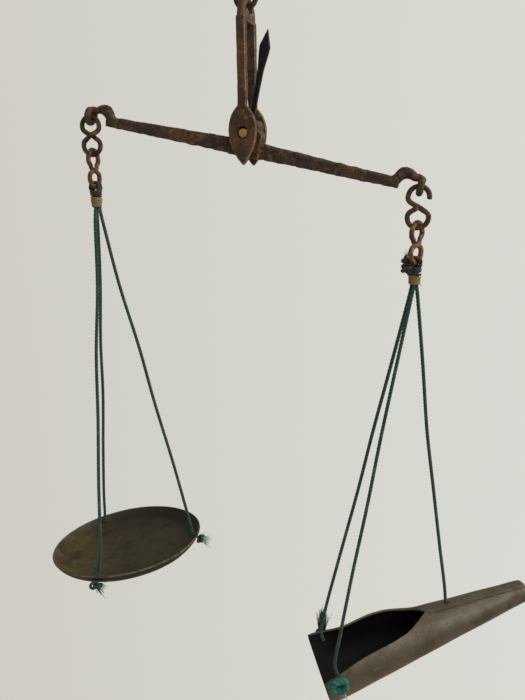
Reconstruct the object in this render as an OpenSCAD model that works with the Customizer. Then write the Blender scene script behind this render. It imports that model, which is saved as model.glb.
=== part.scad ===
// Hand-held balance scale for small goods, hanging from a figure-eight wire link.
// Forged shears carry a forged beam on a knife pin. The beam ends in swan necks
// with pierced eyes. Two wire links and three cords hang a round pan on one side
// and a rolled sheet scoop on the other. The beam rests tilted, scoop side down.
// Units are millimetres. The origin is inside the top of the hanger link's upper
// eye, where a hook or finger bears. +X runs along the beam to the scoop, +Y away
// from the front, +Z up.

/* [Wire links] */
// Diameter of the link wire
wire_d = 1.4; // [1.2:0.1:1.6]
// Outer height of a link
link_h = 12.2; // [11.8:0.1:14]
// Outer width of a link
link_w = 7.2; // [6.8:0.1:8]
// Bend radius at a link's shoulders, to the wire's centre
shoulder_r = 1.7; // [1.4:0.1:1.9]
// Running gap between a link and what it hangs on
link_gap = 0.05; // [0.03:0.01:0.1]
// Angle that the opened link's free end reaches below its side
open_end_drop = 14; // [5:1:20]

/* [Shears] */
// Height from the pin hole to the underside of the crotch
slot_h = 27.5; // [27:0.5:34]
// Thickness of metal between the slot and the head's opening, at the middle
crotch_t = 1.9; // [1.4:0.1:2.4]
// Width across the outside of both cheeks
cheek_span = 11.5; // [11:0.1:14]
// Thickness of an arm, front to back
arm_t = 2.3; // [2:0.1:2.6]
// Width of an arm, seen from the front
arm_w = 2.35; // [2:0.05:2.8]
// Diameter of the bar that closes the head
head_bar_d = 2.2; // [1.8:0.1:2.3]
// Thickness of a leaf-shaped cheek
leaf_t = 1.45; // [1.2:0.05:1.8]
// Width of a cheek
leaf_w = 7.7; // [7:0.1:9]
// Distance from the pin hole down to the cheek's point
leaf_drop = 8.5; // [7.5:0.1:10]
// Distance from the pin hole up to the cheek's shoulders
leaf_rise = 6.8; // [6:0.1:8]
// Height of the widest place above the pin hole
leaf_wide_h = 0.8; // [0.4:0.1:1.4]

/* [Knife pin] */
// Diameter of the pin
pin_d = 2.2; // [2:0.1:2.4]
// Drop from the pin's centre to its knife edge
edge_drop = 1.38; // [1.35:0.01:1.5]
// How much larger the cheeks' holes are than the pin
pin_play = 1; // [0.9:0.1:1.4]
// How far the pin stands out of each cheek
pin_proud = 0.65; // [0.3:0.05:1.2]

/* [Beam] */
// Distance from the knife edge to an end eye's centre, along the beam
half_beam = 48.65; // [46:0.05:60]
// How far the end eyes lie below the knife edge
eye_drop = 2.5; // [1.5:0.1:3]
// Tilt at rest, scoop side down, in degrees
rest_tilt = 12.2; // [0:0.2:14]
// Height of an arm beside the boss
arm_root_h = 4.15; // [3.8:0.05:5]
// Height of an arm at the swan neck
arm_end_h = 2.7; // [2.4:0.1:3.2]
// Depth of an arm beside the boss, front to back
arm_root_depth = 3.6; // [3:0.1:4.4]
// Depth of an arm at the swan neck
arm_end_depth = 2.8; // [2.6:0.1:3.2]
// Drop from the knife edge to the beam's straight underside
underside_drop = 4.45; // [4.2:0.05:5]
// Length of the boss along the beam
boss_l = 8.8; // [7:0.1:10]
// Depth of the boss, front to back
boss_depth = 5.7; // [5:0.1:6.4]
// Height of the boss above the knife edge
boss_rise = 5.1; // [4.4:0.1:6]
// Bend radius of a swan neck, to its centre
neck_r = 3.35; // [3.1:0.05:3.6]
// Thickness of a swan neck at its back
neck_d = 2.75; // [2.4:0.05:2.8]
// Thickness of the bar around a pierced end eye
eye_bar_d = 1.85; // [1.6:0.05:1.9]
// Radius of a pierced end eye, to the bar's centre
eye_r = 1.85; // [1.85:0.05:2.1]

/* [Pointer] */
// Height of the pointer's tip above the knife edge
pointer_h = 28; // [22:0.1:28.2]
// Width where the pointer is widest
pointer_w = 2.9; // [2:0.1:3.4]
// Width where the pointer leaves the boss
pointer_root_w = 1.3; // [1:0.1:1.8]
// Thickness of the pointer
pointer_t = 0.9; // [0.6:0.1:1.4]
// Length of the pointer's point, from the widest place up
pointer_point = 4.2; // [3:0.1:6]
// Depth of the pointer's tenon in the boss
tenon_depth = 2; // [1:0.1:2.4]

/* [Cords] */
// Diameter of the pans' cords
cord_d = 1.1; // [0.8:0.1:1.2]
// Diameter of a cord drawn tight in its knot
knot_cord_d = 0.9; // [0.7:0.05:0.95]
// Overall width of an end knot
knot_w = 4.6; // [4.4:0.1:5.4]
// Diameter of the bound bundle of cords under the links
bundle_d = 2.6; // [2.4:0.1:3]
// Drop from the lower link's bar to the end of the binding
binding_drop = 5.9; // [5.5:0.1:7]
// Diameter of the binding twine
twine_d = 0.85; // [0.6:0.05:0.9]
// Climb of the binding for each turn
twine_pitch = 1.3; // [1.3:0.05:1.5]
// Turns of binding on the pan's side
left_turns = 3; // [2:1:3]
// Turns of binding on the scoop's side
right_turns = 2; // [1:1:3]

/* [Round pan] */
// Outside diameter of the round pan's rim
pan_d = 52; // [48:0.5:60]
// Depth of the pan inside, below its rim
pan_depth = 4.2; // [3.6:0.1:5]
// Thickness of the pan's sheet
pan_t = 0.6; // [0.5:0.05:0.8]
// Inside radius of the bend from floor to rim
pan_bend_r = 8; // [7:0.5:9]
// Diameter of the cord holes
cord_hole_d = 1.7; // [1.6:0.1:2]

/* [Scoop] */
// Length of the scoop, mouth to spout
scoop_l = 73; // [68:1:80]
// Diameter of the mouth
mouth_d = 21.5; // [20:0.5:24]
// Diameter of the spout
spout_d = 6.6; // [6:0.1:8]
// Thickness of the scoop's sheet
scoop_t = 0.6; // [0.5:0.02:0.8]
// Length of the opening cut in the top
scoop_cut_l = 38; // [34:0.5:41]
// Height of the cut edge above the axis, at the mouth
scoop_cut_h = 3.5; // [2.5:0.1:5]
// Width of the lapped seam along the top
seam_w = 2; // [1.5:0.1:3]

/* [Hidden] */
$fn = 48;

// Links: from one bar's centre to the other, and from the waist to a bar
link_pitch = link_h - wire_d;
link_half = link_pitch / 2;
link_r = (link_w - wire_d) / 2;
// The strands bow past each other at the waist, a hair apart
lap = wire_d / 2 + 0.04;
crown_h = link_half - link_r;
shoulder_x = link_r - shoulder_r;
strand_reach = norm([shoulder_x, crown_h]);
strand_l = sqrt(strand_reach ^ 2 - shoulder_r ^ 2);
strand_angle = atan2(crown_h, shoulder_x) - asin(shoulder_r / strand_reach);
bow_turn = 2 * atan(lap / strand_l);
bow_r = strand_l / (2 * sin(bow_turn));
// Bars that join run this far into each other, a hair thinner
seat = 0.05;

// Heights down the middle, from the hanger link to the knife edge
hanger_bar_z = wire_d / 2 - link_pitch;
head_bar_z = hanger_bar_z + (wire_d + head_bar_d) / 2 + link_gap;
arm_y = (cheek_span - arm_t) / 2;
arm_inner_y = cheek_span / 2 - arm_t;
head_z = head_bar_z - arm_y;
crotch_gap = 1;
pin_hole_z = hanger_bar_z - wire_d / 2 - crotch_gap - crotch_t - slot_h;
pin_hole_d = pin_d + pin_play;
edge_gap = 0.03;
edge_z = pin_hole_z - pin_hole_d / 2 + edge_gap;

// Beam, in its own frame: origin on the knife edge, x along the beam
neck_run = 3.65;
neck_rise = 0.8;
neck_x = half_beam - neck_run;
neck_z = neck_rise - underside_drop;
arm_end_x = neck_x - neck_r + neck_d / 2;
neck_sweep = [180, 62];
neck_steps = 8;

// Heights under an end eye, from its lower bar
eye_hang = (eye_bar_d + wire_d) / 2 + link_gap;
link_hang = wire_d + link_gap;

// Cord loops and binding, in a hanger's own frame: origin on the lower link's bar
cord_loop_gap = 0.18;
loop_r = (wire_d + cord_d) / 2 + cord_loop_gap;
loop_lean = 32;
bundle_top = -1.35;
bundle_taper = 0.2;
left_binding_top = -1.5;
right_binding_top = -2.85;
wind_sides = 6;
rings_per_turn = 24;

// Pan and scoop, in their hangers' frames
pan_place = [0.3, 2.1, -121.1];
pan_turn = [-3.4, -7.3, 0];
pan_floor_r = pan_d / 2 - (pan_bend_r + pan_t) * sin(acos(1 - pan_depth / pan_bend_r));
pan_hole_slope = 47;
pan_hole_angles = [14, 141, 274];
scoop_place = [-23, -9.5, -130.2];
scoop_turn = [0, -15.2, 26.2];
scoop_taper = (mouth_d - spout_d) / 2 / scoop_l;
scoop_side_hole = [4.7, 83];
scoop_top_hole = [46.2, 6];
seam_rise = 0.45;
seam_end_gap = 1.2;

// Cords, in their hangers' frames: from the binding, through the hole, to the knot
left_front_route = [
    [-0.12, -0.65, -5.9], [-0.2, -1.6, -11], [0.6, -4.8, -30], [0.5, -8.6, -50],
    [1.3, -12.2, -70], [1.6, -15.6, -90], [2.4, -19.0, -108], [2.2, -20.8, -118],
    [1.9, -21.4, -120.2], [2.1, -22.2, -121.1], [2.2, -22.9, -121.7], [2.3, -23.6, -122.3]
];
left_back_route = [
    [-0.51, 0.43, -5.9], [-0.9, 1.1, -11], [-3.2, 3.6, -30], [-6.4, 6.2, -50],
    [-9.0, 9.2, -70], [-12.2, 11.8, -90], [-15.4, 14.7, -110], [-17.0, 16.4, -122.6],
    [-17.5, 16.8, -125.1], [-18.1, 17.3, -126.1], [-18.5, 17.7, -126.8], [-19.0, 18.1, -127.5]
];
left_inner_route = [
    [0.62, 0.23, -5.9], [1.4, 0.5, -11], [4.7, 1.6, -30], [9.3, 2.9, -50],
    [13.0, 4.4, -70], [17.4, 5.7, -90], [20.8, 7.1, -108], [22.6, 7.7, -117.6],
    [23.1, 7.8, -119.4], [24.0, 7.9, -120.1], [24.8, 8.0, -120.7], [25.5, 8.2, -121.2]
];
scoop_far_route = [
    [-0.58, 0.33, -5.9], [-1.5, 0.4, -11], [-5.4, 0.2, -30], [-9.6, -0.4, -50],
    [-13.5, -0.6, -70], [-18.0, -1.2, -91], [-22.0, -1.5, -110], [-24.0, -1.6, -121],
    [-23.8, -0.9, -124.6], [-23.5, -0.2, -126.6], [-23.5, 0.6, -127.4], [-24.0, 1.7, -127.7],
    [-24.4, 2.6, -127.8], [-24.8, 3.4, -127.8]
];
scoop_near_route = [
    [0, -0.67, -5.9], [-0.8, -1.4, -11], [-3.8, -3.6, -30], [-6.9, -6.2, -50],
    [-9.7, -8.8, -70], [-13.0, -11.5, -91], [-15.7, -14.0, -110], [-17.2, -15.2, -121],
    [-16.6, -15.4, -124.6], [-15.8, -15.5, -126.6], [-15.2, -16.0, -127.4], [-14.7, -17.1, -127.6],
    [-14.2, -18.0, -127.7], [-13.8, -18.8, -127.7]
];
scoop_spout_route = [
    [0.58, 0.33, -5.9], [1.3, 0.7, -11], [3.6, 2.4, -30], [5.8, 4.2, -50],
    [8.8, 6.2, -70], [11.8, 8.3, -90], [14.2, 9.8, -105], [15.0, 10.0, -111.4],
    [15.3, 10.1, -112.6], [15.9, 10.1, -114.9]
];

function arc_point(a) = [cos(a), sin(a)];
function unit(v) = v / norm(v);
function heading(p, i) = unit(p[min(i + 1, len(p) - 1)] - p[max(i - 1, 0)]);
function ring(c, t, r, sides, up) =
    let (a = unit(cross(up, t)), b = cross(t, a))
    [for (k = [0 : sides - 1]) c + r * (cos(k * 360 / sides) * a + sin(k * 360 / sides) * b)];
function side_faces(rings, sides) = [
    for (i = [0 : rings - 2], k = [0 : sides - 1])
        let (a = i * sides + k, b = i * sides + (k + 1) % sides)
        each [[a, a + sides, b], [b, a + sides, b + sides]]
];
function closing_faces(rings, sides) = [
    for (k = [0 : sides - 1])
        let (a = (rings - 1) * sides + k, b = (rings - 1) * sides + (k + 1) % sides)
        each [[a, k, b], [b, k, (k + 1) % sides]]
];
function cap_faces(rings, sides) = concat(
    [for (k = [1 : sides - 2]) [0, k, k + 1]],
    [for (k = [1 : sides - 2]) let (n = (rings - 1) * sides) [n, n + k + 1, n + k]]
);

// Swept round bar along points, with one radius for each point
module tube(points, radii, sides = 8, up = [0, 1, 0]) {
    n = len(points);
    polyhedron(
        points = [for (i = [0 : n - 1]) each ring(points[i], heading(points, i), radii[i], sides, up)],
        faces = concat(side_faces(n, sides), cap_faces(n, sides))
    );
}

// Closed loop of round bar, used for the knots
module closed_tube(points, r, sides, up) {
    n = len(points);
    polyhedron(
        points = [
            for (i = [0 : n - 1])
                each ring(points[i], unit(points[(i + 1) % n] - points[(i + n - 1) % n]), r, sides, up)
        ],
        faces = concat(side_faces(n, sides), closing_faces(n, sides))
    );
}

// Round bar bent in the XZ plane
module bend(centre, r, from, to, d) {
    translate([centre.x, 0, centre.y])
        rotate([90, 0, 0])
            rotate([0, 0, from])
                rotate_extrude(angle = to - from)
                    translate([r, 0])
                        circle(d = d);
}

// Upper eye of a link about the waist, either whole or with its right side open
module link_eye(open = false) {
    overrun = 2;
    shoulder_d = wire_d - seat / 2;
    bend([0, crown_h], link_r, open ? -open_end_drop : 0, 180, wire_d);
    bend([-shoulder_x, crown_h], shoulder_r, 180 - overrun, 270 - strand_angle, shoulder_d);
    if (!open)
        bend([shoulder_x, crown_h], shoulder_r, strand_angle - 90, overrun, shoulder_d);
}

// A strand's centre line: how far along from the waist, and how far out of the link's
// plane, for u from 0 at the waist to 1 at the eye's shoulder
function bow_at(u) =
    let (a = 2 * u * bow_turn, b = 2 * (1 - u) * bow_turn)
    u <= 0.5
        ? [bow_r * sin(a), lap - bow_r * (1 - cos(a))]
        : [strand_l - bow_r * sin(b), bow_r * (1 - cos(b))];
function strand_point(u, side, face) =
    let (p = bow_at(abs(u)), reach = sign(u) * (p[0] + (abs(u) == 1 ? seat : 0)))
    [side * reach * cos(strand_angle), face * p[1], reach * sin(strand_angle)];

// Strand from the lower eye up to the upper one, or up to the waist only
module strand(side, face, top = 1) {
    path = [for (u = [-1 : 0.25 : top]) strand_point(u, side, face)];
    tube(path, [for (p = path) (wire_d - seat) / 2], 10);
}

// Figure-eight wire link, with its top bar's centre at the origin
module wire_link(open = false) {
    translate([0, 0, -link_half]) {
        link_eye(open);
        mirror([0, 0, 1])
            link_eye();
        strand(1, -1, open ? 0 : 1);
        strand(-1, 1);
    }
}

// Overhand knot drawn tight: a trefoil lying on a small ring
module end_knot(centre, axis) {
    knot_ring_r = (knot_w - knot_cord_d) * 0.325;
    knot_lobe_r = (knot_w - knot_cord_d) * 0.175;
    steps = 30;
    spread = knot_ring_r + knot_lobe_r;
    loop = [
        for (i = [0 : steps - 1])
            let (t = i * 360 / steps, r = knot_ring_r + knot_lobe_r * cos(3 * t))
            [r * cos(2 * t), r * sin(2 * t), knot_lobe_r * sin(3 * t)] * (knot_w - knot_cord_d) / 2 / spread
    ];
    translate(centre)
        rotate([0, acos(axis.z / norm(axis)), atan2(axis.y, axis.x)])
            closed_tube(loop, knot_cord_d / 2, 6, [0, 0, 1]);
}

// One cord along its route, with the knot that stops it behind its hole
module knotted_cord(route) {
    n = len(route);
    tube(route, [for (p = route) cord_d / 2]);
    end_knot(route[n - 1], route[n - 1] - route[n - 2]);
}

module at_beam() {
    translate([0, 0, edge_z])
        rotate([0, rest_tilt, 0])
            children();
}

// Places in the model's frame of what hangs from an end eye: side is -1 or 1
function eye_bar(side) =
    let (x = side * half_beam, z = -eye_drop - eye_r)
    [x * cos(rest_tilt) + z * sin(rest_tilt), 0, edge_z - x * sin(rest_tilt) + z * cos(rest_tilt)];
function upper_link_top(side) = eye_bar(side) + [0, 0, eye_hang];
function lower_link_top(side) = upper_link_top(side) + [0, 0, link_hang - link_pitch];
function pivot(side) = lower_link_top(side) - [0, 0, link_pitch];

module at_hanger(side) {
    translate(pivot(side))
        children();
}

module hanger_link() {
    color("#4a3c34")
        translate([0, 0, wire_d / 2])
            wire_link();
}

// Leaf outline of a cheek: two wide arcs to the point, two tight arcs to the neck
module leaf_outline() {
    half_w = leaf_w / 2;
    drop = leaf_drop + leaf_wide_h;
    rise = leaf_rise - leaf_wide_h;
    neck_in = half_w - arm_w / 2;
    point_r = (drop ^ 2 + half_w ^ 2) / leaf_w;
    crown_r = (rise ^ 2 + neck_in ^ 2) / (2 * neck_in);
    translate([0, leaf_wide_h]) {
        intersection() {
            translate([point_r - half_w, 0])
                circle(r = point_r);
            translate([half_w - point_r, 0])
                circle(r = point_r);
            translate([-half_w - 1, -drop - 1])
                square([leaf_w + 2, drop + 1.01]);
        }
        intersection() {
            translate([crown_r - half_w, 0])
                circle(r = crown_r);
            translate([half_w - crown_r, 0])
                circle(r = crown_r);
            translate([-half_w - 1, 0])
                square([leaf_w + 2, rise]);
        }
    }
}

// One side of the shears: the drilled cheek, and its arm thickening above the leaf
module shears_side() {
    outer_y = cheek_span / 2;
    neck_low = leaf_rise - 1.5;
    neck_high = leaf_rise + 2.5;
    translate([0, outer_y, pin_hole_z])
        rotate([90, 0, 0])
            difference() {
                linear_extrude(leaf_t)
                    leaf_outline();
                translate([0, 0, -1])
                    cylinder(d = pin_hole_d, h = leaf_t + 2);
            }
    translate([-arm_w / 2, 0, 0])
        rotate([90, 0, 90])
            linear_extrude(arm_w)
                polygon([
                    [outer_y, pin_hole_z + neck_low],
                    [outer_y, head_z],
                    [arm_inner_y, head_z],
                    [arm_inner_y, pin_hole_z + neck_high],
                    [outer_y - leaf_t, pin_hole_z + neck_low]
                ]);
}

module shears() {
    slot_z = pin_hole_z + slot_h;
    color("#8a4f2c") {
        shears_side();
        mirror([0, 1, 0])
            shears_side();
        translate([0, 0, head_z])
            rotate([90, 0, 90])
                rotate_extrude(angle = 180)
                    translate([arm_y, 0])
                        circle(d = head_bar_d);
        translate([-arm_w / 2, 0, 0])
            rotate([90, 0, 90])
                linear_extrude(arm_w)
                    polygon([
                        [-arm_inner_y - 0.1, slot_z],
                        [arm_inner_y + 0.1, slot_z],
                        [arm_inner_y + 0.1, head_z + 0.6],
                        [arm_inner_y - 0.5, slot_z + crotch_t + 1],
                        [0, slot_z + crotch_t],
                        [-arm_inner_y + 0.5, slot_z + crotch_t + 1],
                        [-arm_inner_y - 0.1, head_z + 0.6]
                    ]);
    }
}

// Knife pin along Y: round, and planed to an edge below, with the edge on the axis
module knife_pin_blank(l) {
    half_w = pin_d * 0.42;
    translate([0, l / 2, edge_drop])
        rotate([90, 0, 0]) {
            cylinder(d = pin_d, h = l);
            linear_extrude(l)
                polygon([[-half_w, -pin_d * 0.14], [half_w, -pin_d * 0.14], [0, -edge_drop]]);
        }
}

module knife_pin() {
    color("#b08a4a")
        at_beam()
            knife_pin_blank(cheek_span + 2 * pin_proud);
}

// Outline of the pointer in the beam's frame, from its tenon to its tip
module pointer_outline() {
    wide_z = pointer_h - pointer_point;
    root_z = boss_rise - tenon_depth;
    polygon([
        [-pointer_root_w / 2, root_z],
        [pointer_root_w / 2, root_z],
        [pointer_root_w / 2, boss_rise + 1],
        [pointer_w / 2, wide_z],
        [0, pointer_h],
        [-pointer_w / 2, wide_z],
        [-pointer_root_w / 2, boss_rise + 1]
    ]);
}

module pointer_blank() {
    translate([0, pointer_t / 2, 0])
        rotate([90, 0, 0])
            linear_extrude(pointer_t)
                pointer_outline();
}

module pointer() {
    color("#2e2b2a")
        at_beam()
            pointer_blank();
}

// Slice of an arm: eight-sided, standing on the beam's underside
module arm_slice(x, h, depth) {
    chamfer = 0.6;
    translate([x, 0, -underside_drop])
        rotate([90, 0, 90])
            linear_extrude(0.01)
                polygon([
                    [-depth / 2 + chamfer / 2, 0], [depth / 2 - chamfer / 2, 0],
                    [depth / 2, chamfer / 2], [depth / 2, h - chamfer],
                    [depth / 2 - chamfer, h], [-depth / 2 + chamfer, h],
                    [-depth / 2, h - chamfer], [-depth / 2, chamfer / 2]
                ]);
}

// One end of the beam: tapered arm, swan neck and pierced eye
module beam_end() {
    turn = (neck_sweep[1] - neck_sweep[0]) / neck_steps;
    sweep = [for (i = [0 : neck_steps]) neck_sweep[0] + i * turn];
    arch = [for (a = sweep) [neck_x + neck_r * cos(a), 0, neck_z + neck_r * sin(a)]];
    eye_top = [half_beam, 0, -eye_drop + eye_r];
    path = concat(arch, [eye_top]);
    thin = (neck_d - eye_bar_d) / 2;
    radii = [for (i = [0 : len(path) - 1]) neck_d / 2 - thin * max(0, (i - 4) / (len(path) - 5))];
    hull() {
        arm_slice(boss_l / 2 - 0.5, arm_root_h, arm_root_depth);
        arm_slice(arm_end_x, arm_end_h, arm_end_depth);
    }
    tube(path, radii, 12);
    translate([half_beam, 0, -eye_drop])
        rotate([0, 90, 0])
            rotate_extrude()
                translate([eye_r, 0])
                    circle(d = eye_bar_d);
}

module boss() {
    bevel = 1.1;
    half_l = boss_l / 2;
    foot = underside_drop + 0.25;
    translate([0, boss_depth / 2, 0])
        rotate([90, 0, 0])
            linear_extrude(boss_depth)
                polygon([
                    [-half_l, -foot], [half_l, -foot], [half_l, boss_rise - bevel],
                    [half_l - bevel, boss_rise], [-half_l + bevel, boss_rise], [-half_l, boss_rise - bevel]
                ]);
}

module beam() {
    color("#70452c")
        at_beam()
            difference() {
                union() {
                    boss();
                    beam_end();
                    mirror([1, 0, 0])
                        beam_end();
                }
                knife_pin_blank(boss_depth + 2);
                pointer_blank();
            }
}

// Cords doubled over the lower link's bar, and the bundle that they make below it
module cord_loop() {
    leg_l = 1.3;
    foot = loop_r * [cos(loop_lean), -sin(loop_lean)];
    for (y = [-1, 1] * (cord_d / 2 + 0.02))
        translate([0, y, 0]) {
            bend([0, 0], loop_r, -loop_lean, 180 + loop_lean, cord_d);
            for (side = [-1, 1])
                translate([side * foot.x, 0, foot.y])
                    rotate([0, 180 + side * loop_lean, 0])
                        translate([0, 0, -seat])
                            cylinder(d = cord_d - seat / 2, h = leg_l);
        }
    translate([0, 0, -binding_drop])
        cylinder(d1 = bundle_d - bundle_taper, d2 = bundle_d, h = binding_drop + bundle_top);
}

// Binding twine: one helix down the bundle, narrowing with it, with straight ends
module binding(top, turns) {
    steps = turns * rings_per_turn;
    start_r = (bundle_d + twine_d) / 2 + 0.1;
    start_z = top - twine_d / 2;
    turn_points = [
        for (i = [0 : steps])
            let (a = i * 360 / rings_per_turn, r = start_r - bundle_taper / 2 * i / steps)
            [r * cos(a), r * sin(a), start_z - twine_pitch * i / rings_per_turn]
    ];
    lead_in = unit(turn_points[0] - turn_points[1]);
    lead_out = unit(turn_points[steps] - turn_points[steps - 1]);
    path = concat(
        [turn_points[0] + twine_d * lead_in],
        turn_points,
        [turn_points[steps] + twine_d * lead_out]
    );
    gaps = [
        for (i = [0 : len(path) - 1], j = [0 : len(path) - 1])
            if (j > i + rings_per_turn / 2) norm(path[i] - path[j]) - twine_d
    ];
    echo("least gap between turns of the binding", min(gaps));
    tube(path, [for (p = path) twine_d / 2], wind_sides, [0, 0, 1]);
}

// Pan in its own frame: the rim's plane is z = 0
module pan_profile() {
    bend_angle = acos(1 - pan_depth / pan_bend_r);
    steps = 12;
    polygon(concat(
        [[0, -pan_depth - pan_t], [0, -pan_depth]],
        [
            for (i = [0 : steps])
                let (a = bend_angle * i / steps)
                [pan_floor_r + pan_bend_r * sin(a), pan_bend_r * (1 - cos(a)) - pan_depth]
        ],
        [
            for (i = [steps : -1 : 0])
                let (a = bend_angle * i / steps, r = pan_bend_r + pan_t)
                [pan_floor_r + r * sin(a), pan_bend_r - pan_depth - r * cos(a)]
        ]
    ));
}

module round_pan() {
    drill_l = 3 * pan_t;
    color("#57482c")
        at_hanger(-1)
            translate(pan_place)
                rotate(pan_turn)
                    difference() {
                        rotate_extrude()
                            pan_profile();
                        for (angle = pan_hole_angles)
                            rotate([0, 0, angle])
                                translate([pan_floor_r, 0, pan_bend_r - pan_depth])
                                    rotate([0, 180 - pan_hole_slope, 0])
                                        translate([0, 0, pan_bend_r - pan_t])
                                            cylinder(d = cord_hole_d, h = drill_l);
                    }
}

// Side view of what is cut from the scoop's top: a curved edge from mouth to apex
module scoop_cut_outline() {
    apex_h = mouth_d / 2 - scoop_taper * scoop_cut_l;
    steps = 12;
    polygon(concat(
        [[-1, mouth_d], [-1, scoop_cut_h]],
        [
            for (i = [0 : steps])
                let (s = i / steps)
                [scoop_cut_l * s, apex_h - (apex_h - scoop_cut_h) * (1 - s) ^ 2.4]
        ],
        [[scoop_cut_l, mouth_d]]
    ));
}

module cone_along(grow, l) {
    rotate([0, 90, 0])
        cylinder(r1 = mouth_d / 2 + grow, r2 = mouth_d / 2 + grow - scoop_taper * l, h = l);
}

// Hole square to the scoop's sheet, at a distance from the mouth and an angle from the top
module scoop_hole(place) {
    rotate([-place[1], 0, 0])
        translate([place[0], 0, mouth_d / 2 - scoop_taper * place[0] - 2])
            cylinder(d = cord_hole_d, h = 4);
}

module scoop() {
    color("#5a5148")
        at_hanger(1)
            translate(scoop_place)
                rotate(scoop_turn)
                    difference() {
                        union() {
                            cone_along(0, scoop_l);
                            intersection() {
                                cone_along(seam_rise, scoop_l - seam_end_gap);
                                translate([scoop_cut_l - 1, 0, 0])
                                    cube([scoop_l, seam_w, mouth_d]);
                            }
                        }
                        translate([-1, 0, 0])
                            cone_along(scoop_taper - scoop_t, scoop_l + 2);
                        translate([0, mouth_d, 0])
                            rotate([90, 0, 0])
                                linear_extrude(2 * mouth_d)
                                    scoop_cut_outline();
                        scoop_hole(scoop_side_hole);
                        scoop_hole([scoop_side_hole[0], -scoop_side_hole[1]]);
                        scoop_hole(scoop_top_hole);
                    }
}

module left_upper_link() {
    color("#7d4526")
        translate(upper_link_top(-1))
            wire_link();
}

module left_lower_link() {
    color("#7d4526")
        translate(lower_link_top(-1))
            rotate([0, 0, 90])
                wire_link();
}

module right_upper_link() {
    color("#7d4526")
        translate(upper_link_top(1))
            wire_link(open = true);
}

module right_lower_link() {
    color("#7d4526")
        translate(lower_link_top(1))
            rotate([0, 0, 90])
                wire_link();
}

module left_cord_loop() {
    color("#1f3d35")
        at_hanger(-1)
            cord_loop();
}

module left_binding() {
    color("#a98f62")
        at_hanger(-1)
            binding(left_binding_top, left_turns);
}

module left_front_cord() {
    color("#24473d")
        at_hanger(-1)
            knotted_cord(left_front_route);
}

module left_back_cord() {
    color("#24473d")
        at_hanger(-1)
            knotted_cord(left_back_route);
}

module left_inner_cord() {
    color("#24473d")
        at_hanger(-1)
            knotted_cord(left_inner_route);
}

// The scoop's loop also carries the spare end, knotted beside the link
module right_cord_loop() {
    spare = [
        [-0.9, 0, -2.2], [-1.7, 0, -2.15], [-2.5, 0, -2.0], [-2.9, 0, -1.4], [-2.9, 0, -0.6]
    ];
    color("#1f3d35")
        at_hanger(1) {
            cord_loop();
            tube(spare, [for (p = spare) knot_cord_d / 2], 8);
            end_knot([-2.9, 0, -0.4], [1, 0, 0.1]);
        }
}

module right_binding() {
    color("#a98f62")
        at_hanger(1)
            binding(right_binding_top, right_turns);
}

module scoop_near_cord() {
    color("#24473d")
        at_hanger(1)
            knotted_cord(scoop_near_route);
}

module scoop_far_cord() {
    color("#24473d")
        at_hanger(1)
            knotted_cord(scoop_far_route);
}

module scoop_spout_cord() {
    color("#24473d")
        at_hanger(1)
            knotted_cord(scoop_spout_route);
}

hanger_link();
shears();
beam();
knife_pin();
pointer();
left_upper_link();
left_lower_link();
left_cord_loop();
left_binding();
left_front_cord();
left_back_cord();
left_inner_cord();
round_pan();
right_upper_link();
right_lower_link();
right_cord_loop();
right_binding();
scoop_near_cord();
scoop_far_cord();
scoop_spout_cord();
scoop();
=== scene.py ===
"""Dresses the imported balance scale: its look, camera, light and ground.

Sizes are millimetres times MM, in the model's own frame: the origin is inside the top of the
hanger link's upper eye, +X runs along the beam to the scoop, +Y away from the front, +Z up.
"""

import logging
import math
import random
from dataclasses import dataclass, field
from enum import Enum
from itertools import accumulate, pairwise
from typing import Callable, Sequence

import bmesh
import bpy
from mathutils import Matrix, Vector, noise


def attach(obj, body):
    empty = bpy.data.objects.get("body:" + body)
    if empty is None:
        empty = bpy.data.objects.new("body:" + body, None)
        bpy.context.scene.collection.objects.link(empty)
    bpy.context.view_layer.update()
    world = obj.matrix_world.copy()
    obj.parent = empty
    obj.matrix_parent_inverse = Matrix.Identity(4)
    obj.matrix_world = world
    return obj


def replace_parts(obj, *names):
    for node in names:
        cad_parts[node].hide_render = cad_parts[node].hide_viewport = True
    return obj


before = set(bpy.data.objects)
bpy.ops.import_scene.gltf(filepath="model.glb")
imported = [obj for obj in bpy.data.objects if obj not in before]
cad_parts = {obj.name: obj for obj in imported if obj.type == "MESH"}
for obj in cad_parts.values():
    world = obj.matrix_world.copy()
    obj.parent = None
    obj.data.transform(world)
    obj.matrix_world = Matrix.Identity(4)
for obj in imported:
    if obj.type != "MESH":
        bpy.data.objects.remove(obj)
LOG = logging.getLogger("balance_scale")
MM = 0.001
UP = Vector((0, 0, 1))
LEFT_PIVOT = Vector((-48.47, 0.0, -55.22)) * MM
RIGHT_PIVOT = Vector((46.63, 0.0, -75.78)) * MM
LOWER_TOP = 10.8 * MM
UPPER_TOP = 20.15 * MM

Colour = tuple[float, float, float]
Triple = tuple[float, float, float]
Line = list[Vector]
Piece = bpy.types.Object
Node = bpy.types.Node
Socket = bpy.types.NodeSocket


class Side(Enum):
    """The two ends of the beam, by the rigid body that hangs there."""

    PAN = "pan"
    SCOOP = "scoop"

    @property
    def pivot(self) -> Vector:
        """Centre of the lower link's bar, which the cords hang on."""
        return LEFT_PIVOT if self is Side.PAN else RIGHT_PIVOT

    @property
    def word(self) -> str:
        """The side's name as the nodes have it."""
        return "left" if self is Side.PAN else "right"


class Plane(Enum):
    """The plane that a link's figure eight lies in, as a turn about Z in degrees."""

    ALONG = 0.0
    ACROSS = 90.0


def srgb(red: float, green: float, blue: float) -> Colour:
    """Turns a colour as seen on screen, 0 to 255, into linear light."""
    return tuple(((c / 255 + 0.055) / 1.055) ** 2.4 if c > 10 else c / 255 / 12.92
                 for c in (red, green, blue))


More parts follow.
